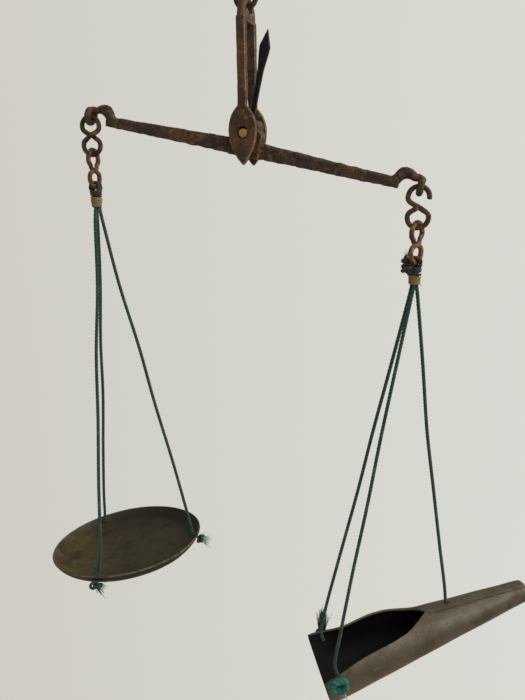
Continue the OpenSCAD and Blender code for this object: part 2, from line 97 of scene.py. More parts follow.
def eased(value: float, low: float, high: float) -> float:
    """Gives 0 below one value, 1 above another and a smooth rise between."""
    share = min(1.0, max(0.0, (value - low) / (high - low)))
    return share * share * (3 - 2 * share)


def between(start: float, end: float, share: float) -> float:
    """Gives the value that lies a share of the way from the start to the end."""
    return start + (end - start) * share


def deselect() -> None:
    """Leaves object mode with nothing selected."""
    if bpy.context.object and bpy.context.object.mode != "OBJECT":
        bpy.ops.object.mode_set(mode="OBJECT")
    bpy.ops.object.select_all(action="DESELECT")


def activate(piece: Piece) -> None:
    """Makes one piece the only selected one, and the active one.

    Args:
        piece: The piece to work on.
    """
    deselect()
    piece.select_set(True)
    bpy.context.view_layer.objects.active = piece


def add_object(name: str, data: bpy.types.ID) -> Piece:
    """Puts a mesh, a light or a camera in the scene.

    Args:
        name: The new object's name.
        data: What it holds.

    Returns:
        The object.
    """
    added = bpy.data.objects.new(name, data)
    bpy.context.scene.collection.objects.link(added)
    return added


def begin_edit(piece: Piece) -> None:
    """Opens a piece for editing, with all of it selected.

    Args:
        piece: The piece to edit.
    """
    activate(piece)
    bpy.ops.object.mode_set(mode="EDIT")
    bpy.ops.mesh.select_all(action="SELECT")


def end_edit(merge: float = 0.0) -> None:
    """Closes editing, joins loose points and turns the faces outwards.

    Args:
        merge: Distance within which points become one, or 0 for none.
    """
    bpy.ops.mesh.select_all(action="SELECT")
    if merge:
        bpy.ops.mesh.remove_doubles(threshold=merge)
    bpy.ops.mesh.normals_make_consistent(inside=False)
    bpy.ops.object.mode_set(mode="OBJECT")
    bpy.ops.object.shade_smooth()


def use(piece: Piece, kind: str, **settings: object) -> None:
    """Adds one modifier and applies it at once.

    Args:
        piece: The piece to change.
        kind: The modifier's type, such as "BEVEL".
        **settings: Values for the modifier's own properties.
    """
    activate(piece)
    modifier = piece.modifiers.new(kind.title(), kind)
    for name, value in settings.items():
        setattr(modifier, name, value)
    bpy.ops.object.modifier_apply(modifier=modifier.name)


def thicken(piece: Piece, sheet: float, offset: float, rounding: float) -> None:
    """Gives a sheet its thickness and rounds its cut edges."""
    use(piece, "SOLIDIFY", thickness=sheet, offset=offset)
    use(piece, "BEVEL", width=rounding, segments=2, limit_method="ANGLE", angle_limit=math.radians(50))


def settle(piece: Piece, place: Matrix) -> None:
    """Writes a piece's place into its mesh, and leaves its object at the origin."""
    piece.data.transform(place @ piece.matrix_world)
    piece.matrix_world = Matrix.Identity(4)


def smooth_curves(piece: Piece) -> None:
    """Smooths the shading of a bent sheet, and keeps its cut edges crisp."""
    activate(piece)
    bpy.ops.object.shade_smooth_by_angle(angle=math.radians(40))


def placed(start: Vector, place: Triple, lean: Triple) -> Matrix:
    """Gives the place and lean of a piece that is built about its own origin.

    Args:
        start: The point that its place is measured from.
        place: Its place in millimetres.
        lean: Its turns in degrees about X, then Y, then Z.

    Returns:
        Where it belongs in the model's frame.
    """
    turn = [Matrix.Rotation(math.radians(angle), 4, axis) for angle, axis in zip(lean, "XYZ")]
    return Matrix.Translation(start + Vector(place) * MM) @ turn[2] @ turn[1] @ turn[0]


def reshape(piece: Piece, change: Callable[[Vector], Vector], place: Matrix) -> None:
    """Moves a piece's surface by a rule that works in a frame of its own.

    Args:
        piece: The piece.
        change: Gives a point's new place from its old one.
        place: The rule's frame.
    """
    back = place.inverted()
    moved = [c for vertex in piece.data.vertices for c in place @ change(back @ vertex.co)]
    piece.data.vertices.foreach_set("co", moved)
    piece.data.update()


def uneven(piece: Piece, depth: float, grain: float, seed: float) -> None:
    """Moves a surface in and out a little, as hammering and rust leave it.

    Args:
        piece: The piece, with a fine mesh.
        depth: Greatest move along the normal.
        grain: Size of one dent.
        seed: Shifts the pattern, so that no two pieces match.
    """
    mesh = piece.data
    normals = [vertex.normal.copy() for vertex in mesh.vertices]
    shift = Vector((seed, seed * 0.7, -seed))
    moved: list[float] = []
    for vertex, normal in zip(mesh.vertices, normals):
        spot = vertex.co / grain + shift
        coarse, fine = noise.noise(spot), noise.noise(spot * 3.1)
        moved.extend(vertex.co + normal * (0.7 * coarse + 0.3 * fine) * depth)
    mesh.vertices.foreach_set("co", moved)
    mesh.update()


def mark(piece: Piece, name: str, values: Sequence[float]) -> None:
    """Writes one number for each point of a piece, for its finish to read."""
    piece.data.attributes.new(name, "FLOAT", "POINT").data.foreach_set("value", values)


def punch(piece: Piece, centre: Vector, diameter: float) -> None:
    """Takes a round hole out of a sheet that is still one surface.

    Args:
        piece: The sheet.
        centre: The hole's middle, on the sheet.
        diameter: The hole's diameter.
    """
    bm = bmesh.new()
    bm.from_mesh(piece.data)
    inside = [f for f in bm.faces if (f.calc_center_median() - centre).length < diameter / 2]
    bmesh.ops.delete(bm, geom=inside, context="FACES")
    rim = [v for v in bm.verts if v.is_boundary and (v.co - centre).length < diameter]
    for vertex in rim:
        vertex.co = centre + (vertex.co - centre).normalized() * diameter / 2
    bm.to_mesh(piece.data)
    bm.free()


def smooth_line(points: Sequence[Vector], step: float, pieces: int = 16) -> Line:
    """Runs one smooth curve through all the points.

    Args:
        points: The points that the line passes through.
        step: Distance between the points of the result.
        pieces: How finely the curve is worked out between two points.

    Returns:
        Points along the curve, evenly spaced.
    """
    dense: Line = []
    last = len(points) - 1
    for i in range(last):
        p0, p1, p2, p3 = points[max(i - 1, 0)], points[i], points[i + 1], points[min(i + 2, last)]
        for t in (k / pieces for k in range(pieces)):
            dense.append(0.5 * (2 * p1 + (p2 - p0) * t + (2 * p0 - 5 * p1 + 4 * p2 - p3) * t * t
                                + (3 * p1 - p0 - 3 * p2 + p3) * t ** 3))
    dense.append(points[last].copy())
    gone = [0.0, *accumulate((b - a).length for a, b in pairwise(dense))]
    count = max(2, round(gone[-1] / step))
    line: Line = []
    j = 0
    for i in range(count + 1):
        want = gone[-1] * i / count
        while j < len(gone) - 2 and gone[j + 1] < want:
            j += 1
        share = (want - gone[j]) / max(gone[j + 1] - gone[j], 1e-12)
        line.append(dense[j].lerp(dense[j + 1], min(1.0, share)))
    return line


def full_turn(count: int) -> list[float]:
    """Gives the angles of one full turn in even steps, both ends included."""
    return [math.tau * i / count for i in range(count + 1)]


@dataclass
class Wiring:
    """A node tree being wired, with one short call for each node; a material's has its shader."""

    tree: bpy.types.NodeTree
    shader: Node | None = None
    output: Node | None = None

    def add(self, kind: str, sockets: dict | None = None, **settings: object) -> Node:
        """Adds a node, sets its properties and fills or links its sockets.

        Args:
            kind: The node's type name.
            sockets: Socket name or number to a value or to another node's output.
            **settings: Values for the node's own properties.

        Returns:
            The new node.
        """
        node = self.tree.nodes.new(kind)
        for name, value in settings.items():
            setattr(node, name, value)
        self.fill(node, sockets or {})
        return node

    def fill(self, node: Node, sockets: dict) -> None:
        """Fills or links a node's sockets.

        Args:
            node: The node.
            sockets: Socket name or number to a value or to another node's output.
        """
        for key, value in sockets.items():
            if isinstance(value, Socket):
                self.tree.links.new(value, node.inputs[key])
            elif isinstance(value, tuple) and node.inputs[key].type == "RGBA":
                node.inputs[key].default_value = (*value, 1.0)
            else:
                node.inputs[key].default_value = value

    def mix(self, share: object, first: object, second: object, blend: str = "MIX") -> Socket:
        """Mixes two colours: the share is how much of the second one there is."""
        sockets = {0: share, 6: first, 7: second}
        return self.add("ShaderNodeMix", sockets, data_type="RGBA", blend_type=blend).outputs[2]

    def math(self, operation: str, first: object, second: object) -> Socket:
        """Does one sum and keeps it between 0 and 1."""
        sockets = {0: first, 1: second}
        return self.add("ShaderNodeMath", sockets, operation=operation, use_clamp=True).outputs[0]

    def ramp(self, value: Socket, low: object, high: object, start: float = 0.0, end: float = 1.0,
             kind: str = "LINEAR") -> Socket:
        """Spreads a value's range, low to high, from start to end."""
        sockets = {0: value, 1: low, 2: high, 3: start, 4: end}
        return self.add("ShaderNodeMapRange", sockets, interpolation_type=kind).outputs[0]

    def spot(self) -> Socket:
        """Reads a point's place in the model's frame."""
        return self.add("ShaderNodeTexCoord").outputs["Object"]

    def marked(self, name: str) -> Socket:
        """Reads a number that the piece holds for each point."""
        return self.add("ShaderNodeAttribute", attribute_name=name).outputs["Fac"]

    def effect(self, name: str, build: Callable[["Wiring", Node], Socket], **values: float) -> Socket:
        """Places a shared effect, whose node group is made the first time it is asked for.

        Args:
            name: The effect's name.
            build: Wires the group's inside and returns the output that it ends in.
            **values: The group's inputs, as they are here.

        Returns:
            The effect's output, from 0 to 1.
        """
        tree = bpy.data.node_groups.get(name)
        if tree is None:
            tree = bpy.data.node_groups.new(name, "ShaderNodeTree")
            for label in values:
                tree.interface.new_socket(label, in_out="INPUT", socket_type="NodeSocketFloat")
            tree.interface.new_socket("Amount", in_out="OUTPUT", socket_type="NodeSocketFloat")
            inner = Wiring(tree)
            inner.add("NodeGroupOutput", {0: build(inner, inner.add("NodeGroupInput"))})
        return self.add("ShaderNodeGroup", values, node_tree=tree).outputs[0]

    def patches(self, size: float, level: float, edge: float) -> Socket:
        """Places soft patches of one size: a lower level gives more of them."""
        return self.effect("soft_patches", patches_inside, Scale=1 / size, Level=level, Edge=edge)

    def patched(self, colour: object, over: Colour, size: float, level: float, edge: float) -> Socket:
        """Lays one colour over another in patches."""
        return self.mix(self.patches(size, level, edge), colour, over)

    def pits(self, size: float) -> Socket:
        """Places pits of one size, low in a pit and high on a grain."""
        return self.effect("fine_pits", pits_inside, Scale=1 / size)

    def painted_edge_highlight(self, start: float, full: float) -> Socket:
        """Places painted highlights on raised edges, from how raised a place is where they begin and where
        they are full.
        """
        return self.effect("painted_edge_highlight", painted_edge_highlight_inside, From=start, To=full, Scale=1 / (2.5 * MM))

    def relief(self, height: Socket, strength: float, depth: float) -> None:
        """Gives the shader fine relief, from the output that is high on top."""
        bump = self.add("ShaderNodeBump", {"Height": height, "Strength": strength, "Distance": depth})
        self.fill(self.shader, {"Normal": bump.outputs[0]})


def patches_inside(wiring: Wiring, given: Node) -> Socket:
    """Wires soft patches: noise at one size, cut to a share of the surface.

    Args:
        wiring: The group's wiring.
        given: The group's inputs: Scale, Level and Edge.

    Returns:
        The output that is 1 inside a patch.
    """
    cloud = wiring.add("ShaderNodeTexNoise", {
        "Vector": wiring.spot(), "Scale": given.outputs["Scale"], "Detail": 6.0, "Roughness": 0.62,
        "Distortion": 0.6})
    low = wiring.math("SUBTRACT", given.outputs["Level"], given.outputs["Edge"])
    high = wiring.math("ADD", given.outputs["Level"], given.outputs["Edge"])
    return wiring.ramp(cloud.outputs[0], low, high, kind="SMOOTHSTEP")


def pits_inside(wiring: Wiring, given: Node) -> Socket:
    """Wires small pits and grains, for relief and for dark specks.

    Args:
        wiring: The group's wiring.
        given: The group's inputs: Scale.

    Returns:
        The output that is 0 in a pit and 1 on a grain.
    """
    place = {"Vector": wiring.spot(), "Scale": given.outputs["Scale"]}
    fine = wiring.add("ShaderNodeTexNoise", place | {"Detail": 5.0, "Roughness": 0.7})
    cells = wiring.add("ShaderNodeTexVoronoi", place)
    return wiring.mix(0.35, fine.outputs[0], cells.outputs["Distance"])


def painted_edge_highlight_inside(wiring: Wiring, given: Node) -> Socket:
    """Wires painted highlights on raised edges, broken up by noise.

    Args:
        wiring: The group's wiring.
        given: The group's inputs: From, To and Scale.

    Returns:
        The output that is 1 on a highlighted edge.
    """
    point = wiring.add("ShaderNodeNewGeometry").outputs["Pointiness"]
    edge = wiring.ramp(point, given.outputs["From"], given.outputs["To"], kind="SMOOTHSTEP")
    cloud = wiring.add("ShaderNodeTexNoise", {
        "Vector": wiring.spot(), "Scale": given.outputs["Scale"], "Detail": 4.0})
    return wiring.math("MULTIPLY", edge, wiring.ramp(cloud.outputs[0], 0.34, 0.56))


@dataclass(frozen=True)
class Grain:
    """The fine grain that ends a metal's finish: its pits, shine and relief."""

    size: float
    rough: tuple[float, float]
    metallic: float
    strength: float
    depth: float
    shade: tuple[float, float, float, float] | None = None

    def coat(self, wiring: Wiring, colour: Socket) -> None:
        """Lays the grain over a colour and fills the shader.

        Args:
            wiring: The material's wiring.
            colour: The colour under the grain.
        """
        grain = wiring.pits(self.size)
        if self.shade:
            colour = wiring.mix(1.0, colour, wiring.ramp(grain, *self.shade), "MULTIPLY")
        rough = wiring.ramp(grain, 0.0, 1.0, *self.rough)
        wiring.fill(wiring.shader, {"Base Color": colour, "Roughness": rough, "Metallic": self.metallic})
        wiring.relief(grain, self.strength, self.depth)


@dataclass(frozen=True)
class Finish:
    """What all finishes share: a name, and a material that is made once."""

    name: str

    def material(self) -> bpy.types.Material:
        """Gives the finish's material, made the first time it is asked for.

        Returns:
            The material.
        """
        if self.name in bpy.data.materials:
            return bpy.data.materials[self.name]
        material = bpy.data.materials.new(self.name)
        material.use_nodes = True
        material.node_tree.nodes.clear()
        wiring = Wiring(material.node_tree)
        wiring.shader = wiring.add("ShaderNodeBsdfPrincipled")
        wiring.output = wiring.add("ShaderNodeOutputMaterial", {"Surface": wiring.shader.outputs[0]})
        self.wire(wiring)
        return material

    def wire(self, wiring: Wiring) -> None:
        """Wires the finish's own colours and relief, between a shader and an output that are joined."""
        raise NotImplementedError


@dataclass(frozen=True)
class RustedIron(Finish):
    """Forged iron or wire, brown with rust, tan where it is worn and dark where it is deep."""

    brown: Colour
    rust: Colour
    tan: Colour
    dark: Colour
    rust_level: float = 0.5
    tan_level: float = 0.6
    patch: float = 5 * MM
    # edge is the colour of the painted highlight on raised edges; the two values after it set how raised a
    # place must be for it to begin and to be full.
    edge: Colour = (0.3, 0.17, 0.07)
    highlight_from: float = 0.512
    highlight_full: float = 0.56
    grain: Grain = Grain(0.45 * MM, (0.9, 0.52), 0.12, 0.55, 0.25 * MM, (0.25, 0.55, 0.45, 1.12))

    def wire(self, wiring: Wiring) -> None:
        """Wires rust, tan wear, dark scale and painted highlights on the edges over the brown.

        Args:
            wiring: The material's wiring.
        """
        colour = wiring.patched(self.brown, self.rust, self.patch, self.rust_level, 0.09)
        colour = wiring.patched(colour, self.tan, self.patch * 0.35, self.tan_level, 0.08)
        colour = wiring.patched(colour, self.dark, self.patch * 0.6, 0.62, 0.06)
        # Painted highlight on the raised edges.
        colour = wiring.mix(wiring.painted_edge_highlight(self.highlight_from, self.highlight_full), colour, self.edge)
        self.grain.coat(wiring, colour)


@dataclass(frozen=True)
class DarkIron(Finish):
    """Smooth dark iron with a dull shine, thinly browned in places."""

    dark: Colour
    brown: Colour
    # The colour of the painted highlight on raised edges.
    edge: Colour = srgb(104, 99, 92)
    grain: Grain = Grain(0.3 * MM, (0.55, 0.36), 0.6, 0.2, 0.08 * MM)

    def wire(self, wiring: Wiring) -> None:
        """Wires brown patches and painted highlights on the edges over the dark iron."""
        colour = wiring.patched(self.dark, self.brown, 3 * MM, 0.6, 0.1)
        # Painted highlight on the raised edges, under the grain.
        self.grain.coat(wiring, wiring.mix(wiring.painted_edge_highlight(0.515, 0.57), colour, self.edge))


@dataclass(frozen=True)
class DarkBronze(Finish):
    """Bronze sheet under an old brown-green skin, golden where it has been rubbed."""

    brown: Colour
    olive: Colour
    golden: Colour
    dark: Colour
    golden_from: float
    golden_to: float
    golden_way: Triple = (1.0, 0.7, 0.0)
    # The colour of the painted highlight on the rim.
    edge: Colour = srgb(122, 106, 72)
    grain: Grain = Grain(0.7 * MM, (0.72, 0.44), 0.45, 0.25, 0.15 * MM, (0.2, 0.6, 0.7, 1.1))

    def wire(self, wiring: Wiring) -> None:
        """Wires the old skin, the rubbed part of the floor, the darker outside with painted shade on the far
        inner wall, and the painted highlight on the rim.

        Args:
            wiring: The material's wiring.
        """
        colour = wiring.patched(self.brown, self.olive, 9 * MM, 0.5, 0.12)
        colour = wiring.patched(colour, self.dark, 4 * MM, 0.62, 0.08)
        across = wiring.add("ShaderNodeVectorMath", {0: wiring.spot(), 1: self.golden_way},
                            operation="DOT_PRODUCT").outputs["Value"]
        near = wiring.ramp(across, self.golden_from, self.golden_to, 0.95, 0.12, "SMOOTHSTEP")
        rubbed = wiring.math("MULTIPLY", wiring.patches(6 * MM, 0.46, 0.14), near)
        colour = wiring.mix(rubbed, colour, self.golden)
        # Darker on the faces that look outwards, with painted shade on the inner wall at the back.
        colour = wiring.mix(wiring.marked("outside"), colour, self.dark)
        # Painted highlight along the rim, in patches.
        lit = wiring.math("MULTIPLY", wiring.marked("rim"), wiring.patches(4 * MM, 0.45, 0.12))
        self.grain.coat(wiring, wiring.mix(lit, colour, self.edge))


@dataclass(frozen=True)
class MottledSteel(Finish):
    """Rolled steel sheet, grey-brown and mottled, rustier along its underside."""

    grey: Colour
    brown: Colour
    dark: Colour
    rust: Colour
    rust_share: float = 0.9
    grain: Grain = Grain(0.8 * MM, (0.66, 0.42), 0.45, 0.2, 0.12 * MM, (0.2, 0.6, 0.78, 1.1))

    def wire(self, wiring: Wiring) -> None:
        """Wires the mottling, and rust that grows towards the underside.

        Args:
            wiring: The material's wiring.
        """
        colour = wiring.patched(self.grey, self.brown, 12 * MM, 0.5, 0.12)
        colour = wiring.patched(colour, self.dark, 7 * MM, 0.6, 0.12)
        low = wiring.ramp(wiring.marked("under"), 0.45, 1.0, 0.0, self.rust_share, "SMOOTHSTEP")
        rusted = wiring.math("MULTIPLY", low, wiring.patches(5 * MM, 0.36, 0.16))
        self.grain.coat(wiring, wiring.mix(rusted, colour, self.rust))


@dataclass(frozen=True)
class DyedCord(Finish):
    """Twisted cord: painted shade between its plies, lighter on top of them."""

    # deep is the colour of the painted shade between the plies.
    deep: Colour
    top: Colour
    faded: Colour
    faded_level: float = 0.62

    def wire(self, wiring: Wiring) -> None:
        """Wires the faded patches on the plies, and the painted shade between them.

        Args:
            wiring: The material's wiring.
        """
        top = wiring.patched(self.top, self.faded, 3 * MM, self.faded_level, 0.1)
        # Painted shade in the grooves, the ply tops in their own colour.
        colour = wiring.mix(wiring.marked("ridge"), self.deep, top)
        wiring.fill(wiring.shader, {"Base Color": colour, "Roughness": 0.85, "Sheen Weight": 0.15})
        wiring.relief(wiring.pits(0.2 * MM), 0.4, 0.08 * MM)


@dataclass(frozen=True)
class PaleWall(Finish):
    """The plain pale ground and wall behind, with painted light that makes it a little lighter to the right.
    """

    left: Colour
    right: Colour
    floor: Colour
    wall_from: float
    fade: float = 0.06
    left_at: float = -0.28
    right_at: float = 0.16

    def wire(self, wiring: Wiring) -> None:
        """Wires a wall that glows evenly to the camera, and isn't there from behind.

        Args:
            wiring: The material's wiring.
        """
        wiring.fill(wiring.shader, {"Base Color": self.floor, "Roughness": 0.9, "Specular IOR Level": 0.1})
        place = wiring.add("ShaderNodeSeparateXYZ", {0: wiring.spot()})
        # Painted light: the wall's glow grows a little lighter to the right.
        across = wiring.ramp(place.outputs[0], self.left_at, self.right_at)
        up = wiring.ramp(place.outputs[2], self.wall_from, self.wall_from + self.fade, kind="SMOOTHSTEP")
        glow = wiring.add("ShaderNodeEmission", {"Color": wiring.mix(across, self.left, self.right)})
        seen = wiring.math("MULTIPLY", wiring.add("ShaderNodeLightPath").outputs["Is Camera Ray"], up)
        lit = wiring.add("ShaderNodeMixShader", {0: seen, 1: wiring.shader.outputs[0], 2: glow.outputs[0]})
        behind = wiring.add("ShaderNodeNewGeometry").outputs["Backfacing"]
        clear = wiring.add("ShaderNodeBsdfTransparent")
        ended = wiring.add("ShaderNodeMixShader", {0: behind, 1: lit.outputs[0], 2: clear.outputs[0]})
        wiring.fill(wiring.output, {"Surface": ended.outputs[0]})


LINK_IRON = RustedIron(
    "rusted_links", srgb(54, 38, 23), srgb(92, 60, 29), srgb(150, 102, 54), srgb(30, 24, 18), rust_level=0.53,
    tan_level=0.62, patch=3.5 * MM, edge=srgb(150, 106, 62), highlight_from=0.6, highlight_full=0.7)
ORANGE_IRON = RustedIron(
    "orange_links", srgb(66, 43, 25), srgb(118, 72, 31), srgb(158, 106, 52), srgb(40, 29, 21),
    rust_level=0.52, tan_level=0.59, patch=3 * MM, edge=srgb(160, 112, 64), highlight_from=0.6, highlight_full=0.7)
SHEARS_IRON = RustedIron(
    "rusted_shears", srgb(60, 40, 23), srgb(90, 58, 29), srgb(134, 94, 50), srgb(38, 27, 18), rust_level=0.52,
    tan_level=0.64, edge=srgb(176, 134, 84))
BEAM_IRON = RustedIron(
    "rusted_beam", srgb(50, 35, 21), srgb(86, 57, 27), srgb(122, 86, 46), srgb(32, 24, 17), rust_level=0.53,
    tan_level=0.61, patch=4 * MM, edge=srgb(140, 102, 60))
PIN_BRASS = RustedIron(
    "tan_brass", srgb(150, 106, 58), srgb(170, 124, 70), srgb(186, 142, 88), srgb(90, 60, 34), tan_level=0.62,
    patch=2 * MM)
POINTER_IRON = DarkIron("dark_pointer", srgb(26, 24, 26), srgb(40, 31, 27))
PAN_BRONZE = DarkBronze(
    "old_bronze", srgb(54, 46, 31), srgb(60, 53, 34), srgb(104, 86, 50), srgb(34, 30, 22),
    golden_from=-76 * MM, golden_to=-46 * MM)
SCOOP_STEEL = MottledSteel(
    "mottled_steel", srgb(98, 90, 74), srgb(90, 78, 60), srgb(68, 62, 52), srgb(146, 104, 62))
# Near-black painted shade for the inside of the cone.
SCOOP_INSIDE_SHADE = MottledSteel(
    "painted_hollow_shade", srgb(16, 15, 15), srgb(19, 17, 16), srgb(12, 12, 12), srgb(34, 26, 20), rust_share=0.3)
CORD_DYE = DyedCord("dyed_cord", srgb(11, 26, 23), srgb(33, 70, 57), srgb(80, 106, 86))
BRIGHT_DYE = DyedCord("bright_dye", srgb(5, 48, 40), srgb(9, 98, 80), srgb(26, 130, 104), 0.55)
OLD_CORD = DyedCord("old_cord", srgb(18, 17, 15), srgb(40, 37, 29), srgb(84, 72, 50), 0.56)
FRAY = DyedCord("frayed_ends", srgb(60, 90, 80), srgb(120, 146, 134), srgb(190, 200, 190), 0.5)
STRAW = DyedCord("straw_twine", srgb(84, 62, 36), srgb(146, 116, 74), srgb(186, 158, 112), 0.54)
WALL = PaleWall("pale_wall", srgb(208, 206, 198), srgb(218, 219, 212), srgb(205, 204, 198), wall_from=-0.69)


def dress(piece: Piece, finish: Finish, slot: str, body: str) -> None:
    """Gives a piece its finish and the body that it moves with.

    Args:
        piece: The piece.
        finish: Its finish.
        slot: Name of the record's material slot; not used.
        body: Name of the rigid body.
    """
    piece.data.materials.clear()
    piece.data.materials.append(finish.material())
    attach(piece, body)
    LOG.info("%s: %d faces, moves with %s", piece.name, len(piece.data.polygons), body)


@dataclass(frozen=True)
class Twist:
    """How a cord's plies are laid."""

    plies: int = 3
    pitch: float = 3.3 * MM
    groove: float = 0.26
    sides: int = 12


LOOSE_FIBRE = Twist(plies=1, groove=0.0, sides=4)
TIGHT_TWIST = Twist(pitch=2.2 * MM)
THICK_TWIST = Twist(pitch=4.2 * MM)
TWINE_TWIST = Twist(plies=2, pitch=1.5 * MM, groove=0.24)


@dataclass(frozen=True)
class Fibres:
    """A brush of loose fibres at a cut end: how many, their reach, their fan and their thickness."""

    count: int
    reach: float
    spread: float
    thickness: float
    root: float = 0.22 * MM


SPARE_FIBRES = Fibres(30, 1.3 * MM, 0.5, 0.16 * MM)
TWINE_FIBRES = Fibres(7, 1.3 * MM, 0.5, 0.12 * MM)
INNER_FIBRES = Fibres(90, 1.9 * MM, 1.0, 0.2 * MM)


@dataclass
class Strands:
    """Twisted strands gathered into one piece."""

    name: str
    bm: bmesh.types.BMesh = field(default_factory=bmesh.new)

    def __post_init__(self) -> None:
        """Adds the layer that tells a ply's top from the groove beside it, for the painted shade in the
        grooves.
        """
        self.bm.verts.layers.float.new("ridge")

    def strand(self, line: Line, diameter: float, twist: Twist = Twist(), taper: float = 1.0) -> None:
        """Adds one twisted strand along a line.

        Args:
            line: The strand's centre line.
            diameter: Its thickness over the plies.
            twist: How the plies lie.
            taper: Share of the thickness that is left at the far end.
        """
        ridge = self.bm.verts.layers.float["ridge"]
        last = len(line) - 1
        normal = (line[1] - line[0]).normalized().orthogonal().normalized()
        rings: list[list[bmesh.types.BMVert]] = []
        gone = 0.0
        for i, spot in enumerate(line):
            way = (line[min(i + 1, last)] - line[max(i - 1, 0)]).normalized()
            normal = (normal - way * normal.dot(way)).normalized()
            aside = way.cross(normal)
            gone += (spot - line[i - 1]).length if i else 0.0
            turned = math.tau * gone / twist.pitch
            radius = diameter / 2 * (1 - (1 - taper) * i / last)
            ring = []
            for angle in full_turn(twist.sides)[:-1]:
                height = abs(math.cos(twist.plies * (angle - turned) / 2)) if twist.plies > 1 else 1.0
                reach = radius * (1 - twist.groove * (1 - height))
                out = math.cos(angle) * normal + math.sin(angle) * aside
                vertex = self.bm.verts.new(spot + reach * out)
                vertex[ridge] = height
                ring.append(vertex)
            rings.append(ring)
        for near, far in pairwise(rings):
            for k in range(twist.sides):
                j = (k + 1) % twist.sides
                self.bm.faces.new((near[k], near[j], far[j], far[k]))
        self.bm.faces.new(list(reversed(rings[0])))
        self.bm.faces.new(rings[-1])

    def fray(self, root: Vector, way: Triple, fibres: Fibres, seed: int) -> None:
        """Adds loose fibres that fan out of a cord's cut end.

        Args:
            root: Where the fibres start.
            way: The direction that they mostly take.
            fibres: The brush.
            seed: Chooses one fan among many.
        """
        chance = random.Random(seed)
        along = Vector(way).normalized()
        for _ in range(fibres.count):
            lean = Vector([chance.gauss(0, 1) for _ in range(3)])
            curl = Vector([chance.gauss(0, 1) for _ in range(3)])
            start = root + lean * fibres.root
            length = fibres.reach * chance.uniform(0.45, 1.0)
            fan = fibres.spread * length * 0.5
            line = [start + along * length * t + (lean * t + curl * t * t * 0.6) * fan
                    for t in (0.0, 0.2, 0.4, 0.6, 0.8, 1.0)]
            self.strand(line, fibres.thickness * chance.uniform(0.7, 1.2), LOOSE_FIBRE, 0.35)

    def knot(self, centre: Vector, axis: Vector, width: float, diameter: float, seed: float) -> None:
        """Adds an overhand knot drawn tight.

        Args:
            centre: Middle of the knot.
            axis: The way that the cord runs through it.
            width: Overall width.
            diameter: Thickness of the cord in the knot.
            seed: Turns the knot about its axis, in degrees.
        """
        ring = 0.65 * (width - diameter) / 2
        lobe = 0.35 * (width - diameter) / 2
        lean = axis.normalized().to_track_quat("Z", "Y").to_matrix()
        turn = lean @ Matrix.Rotation(math.radians(seed), 3, "Z")
        loop = []
        for t in [*full_turn(60)[:-1], 0.0]:
            out = ring + lobe * math.cos(3 * t)
            spot = Vector((out * math.cos(2 * t), out * math.sin(2 * t), 1.25 * lobe * math.sin(3 * t)))
            loop.append(centre + turn @ spot)
        self.strand(loop, diameter, TIGHT_TWIST)

    def dressed(self, finish: Finish, side: Side, slot: str = "cord") -> Piece:
        """Makes the gathering one smooth piece and dresses it.

        Args:
            finish: Its finish.
            side: The side that it moves with.
            slot: Its slot in the record.

        Returns:
            The piece.
        """
        mesh = bpy.data.meshes.new(self.name)
        bmesh.ops.recalc_face_normals(self.bm, faces=self.bm.faces)
        self.bm.to_mesh(mesh)
        self.bm.free()
        piece = add_object(self.name, mesh)
        activate(piece)
        bpy.ops.object.shade_smooth()
        dress(piece, finish, slot, side.value)
        return piece


class KnotLook(Enum):
    """How a cord's end looks where it is stopped behind its hole, by the fibres that show there.

    FRAYED is a small tight knot with pale fibres, TUFTED a dark knot with a tall brush of them,
    LOOPED a wide bright knot with its eye open, and PLAIN a small knot out of sight.
    """

    FRAYED = Fibres(70, 2.3 * MM, 0.8, 0.2 * MM)
    TUFTED = Fibres(280, 7.4 * MM, 0.2, 0.28 * MM)
    LOOPED = Fibres(20, 2.2 * MM, 0.7, 0.18 * MM)
    PLAIN = Fibres(0, 0.0, 0.0, 0.0)


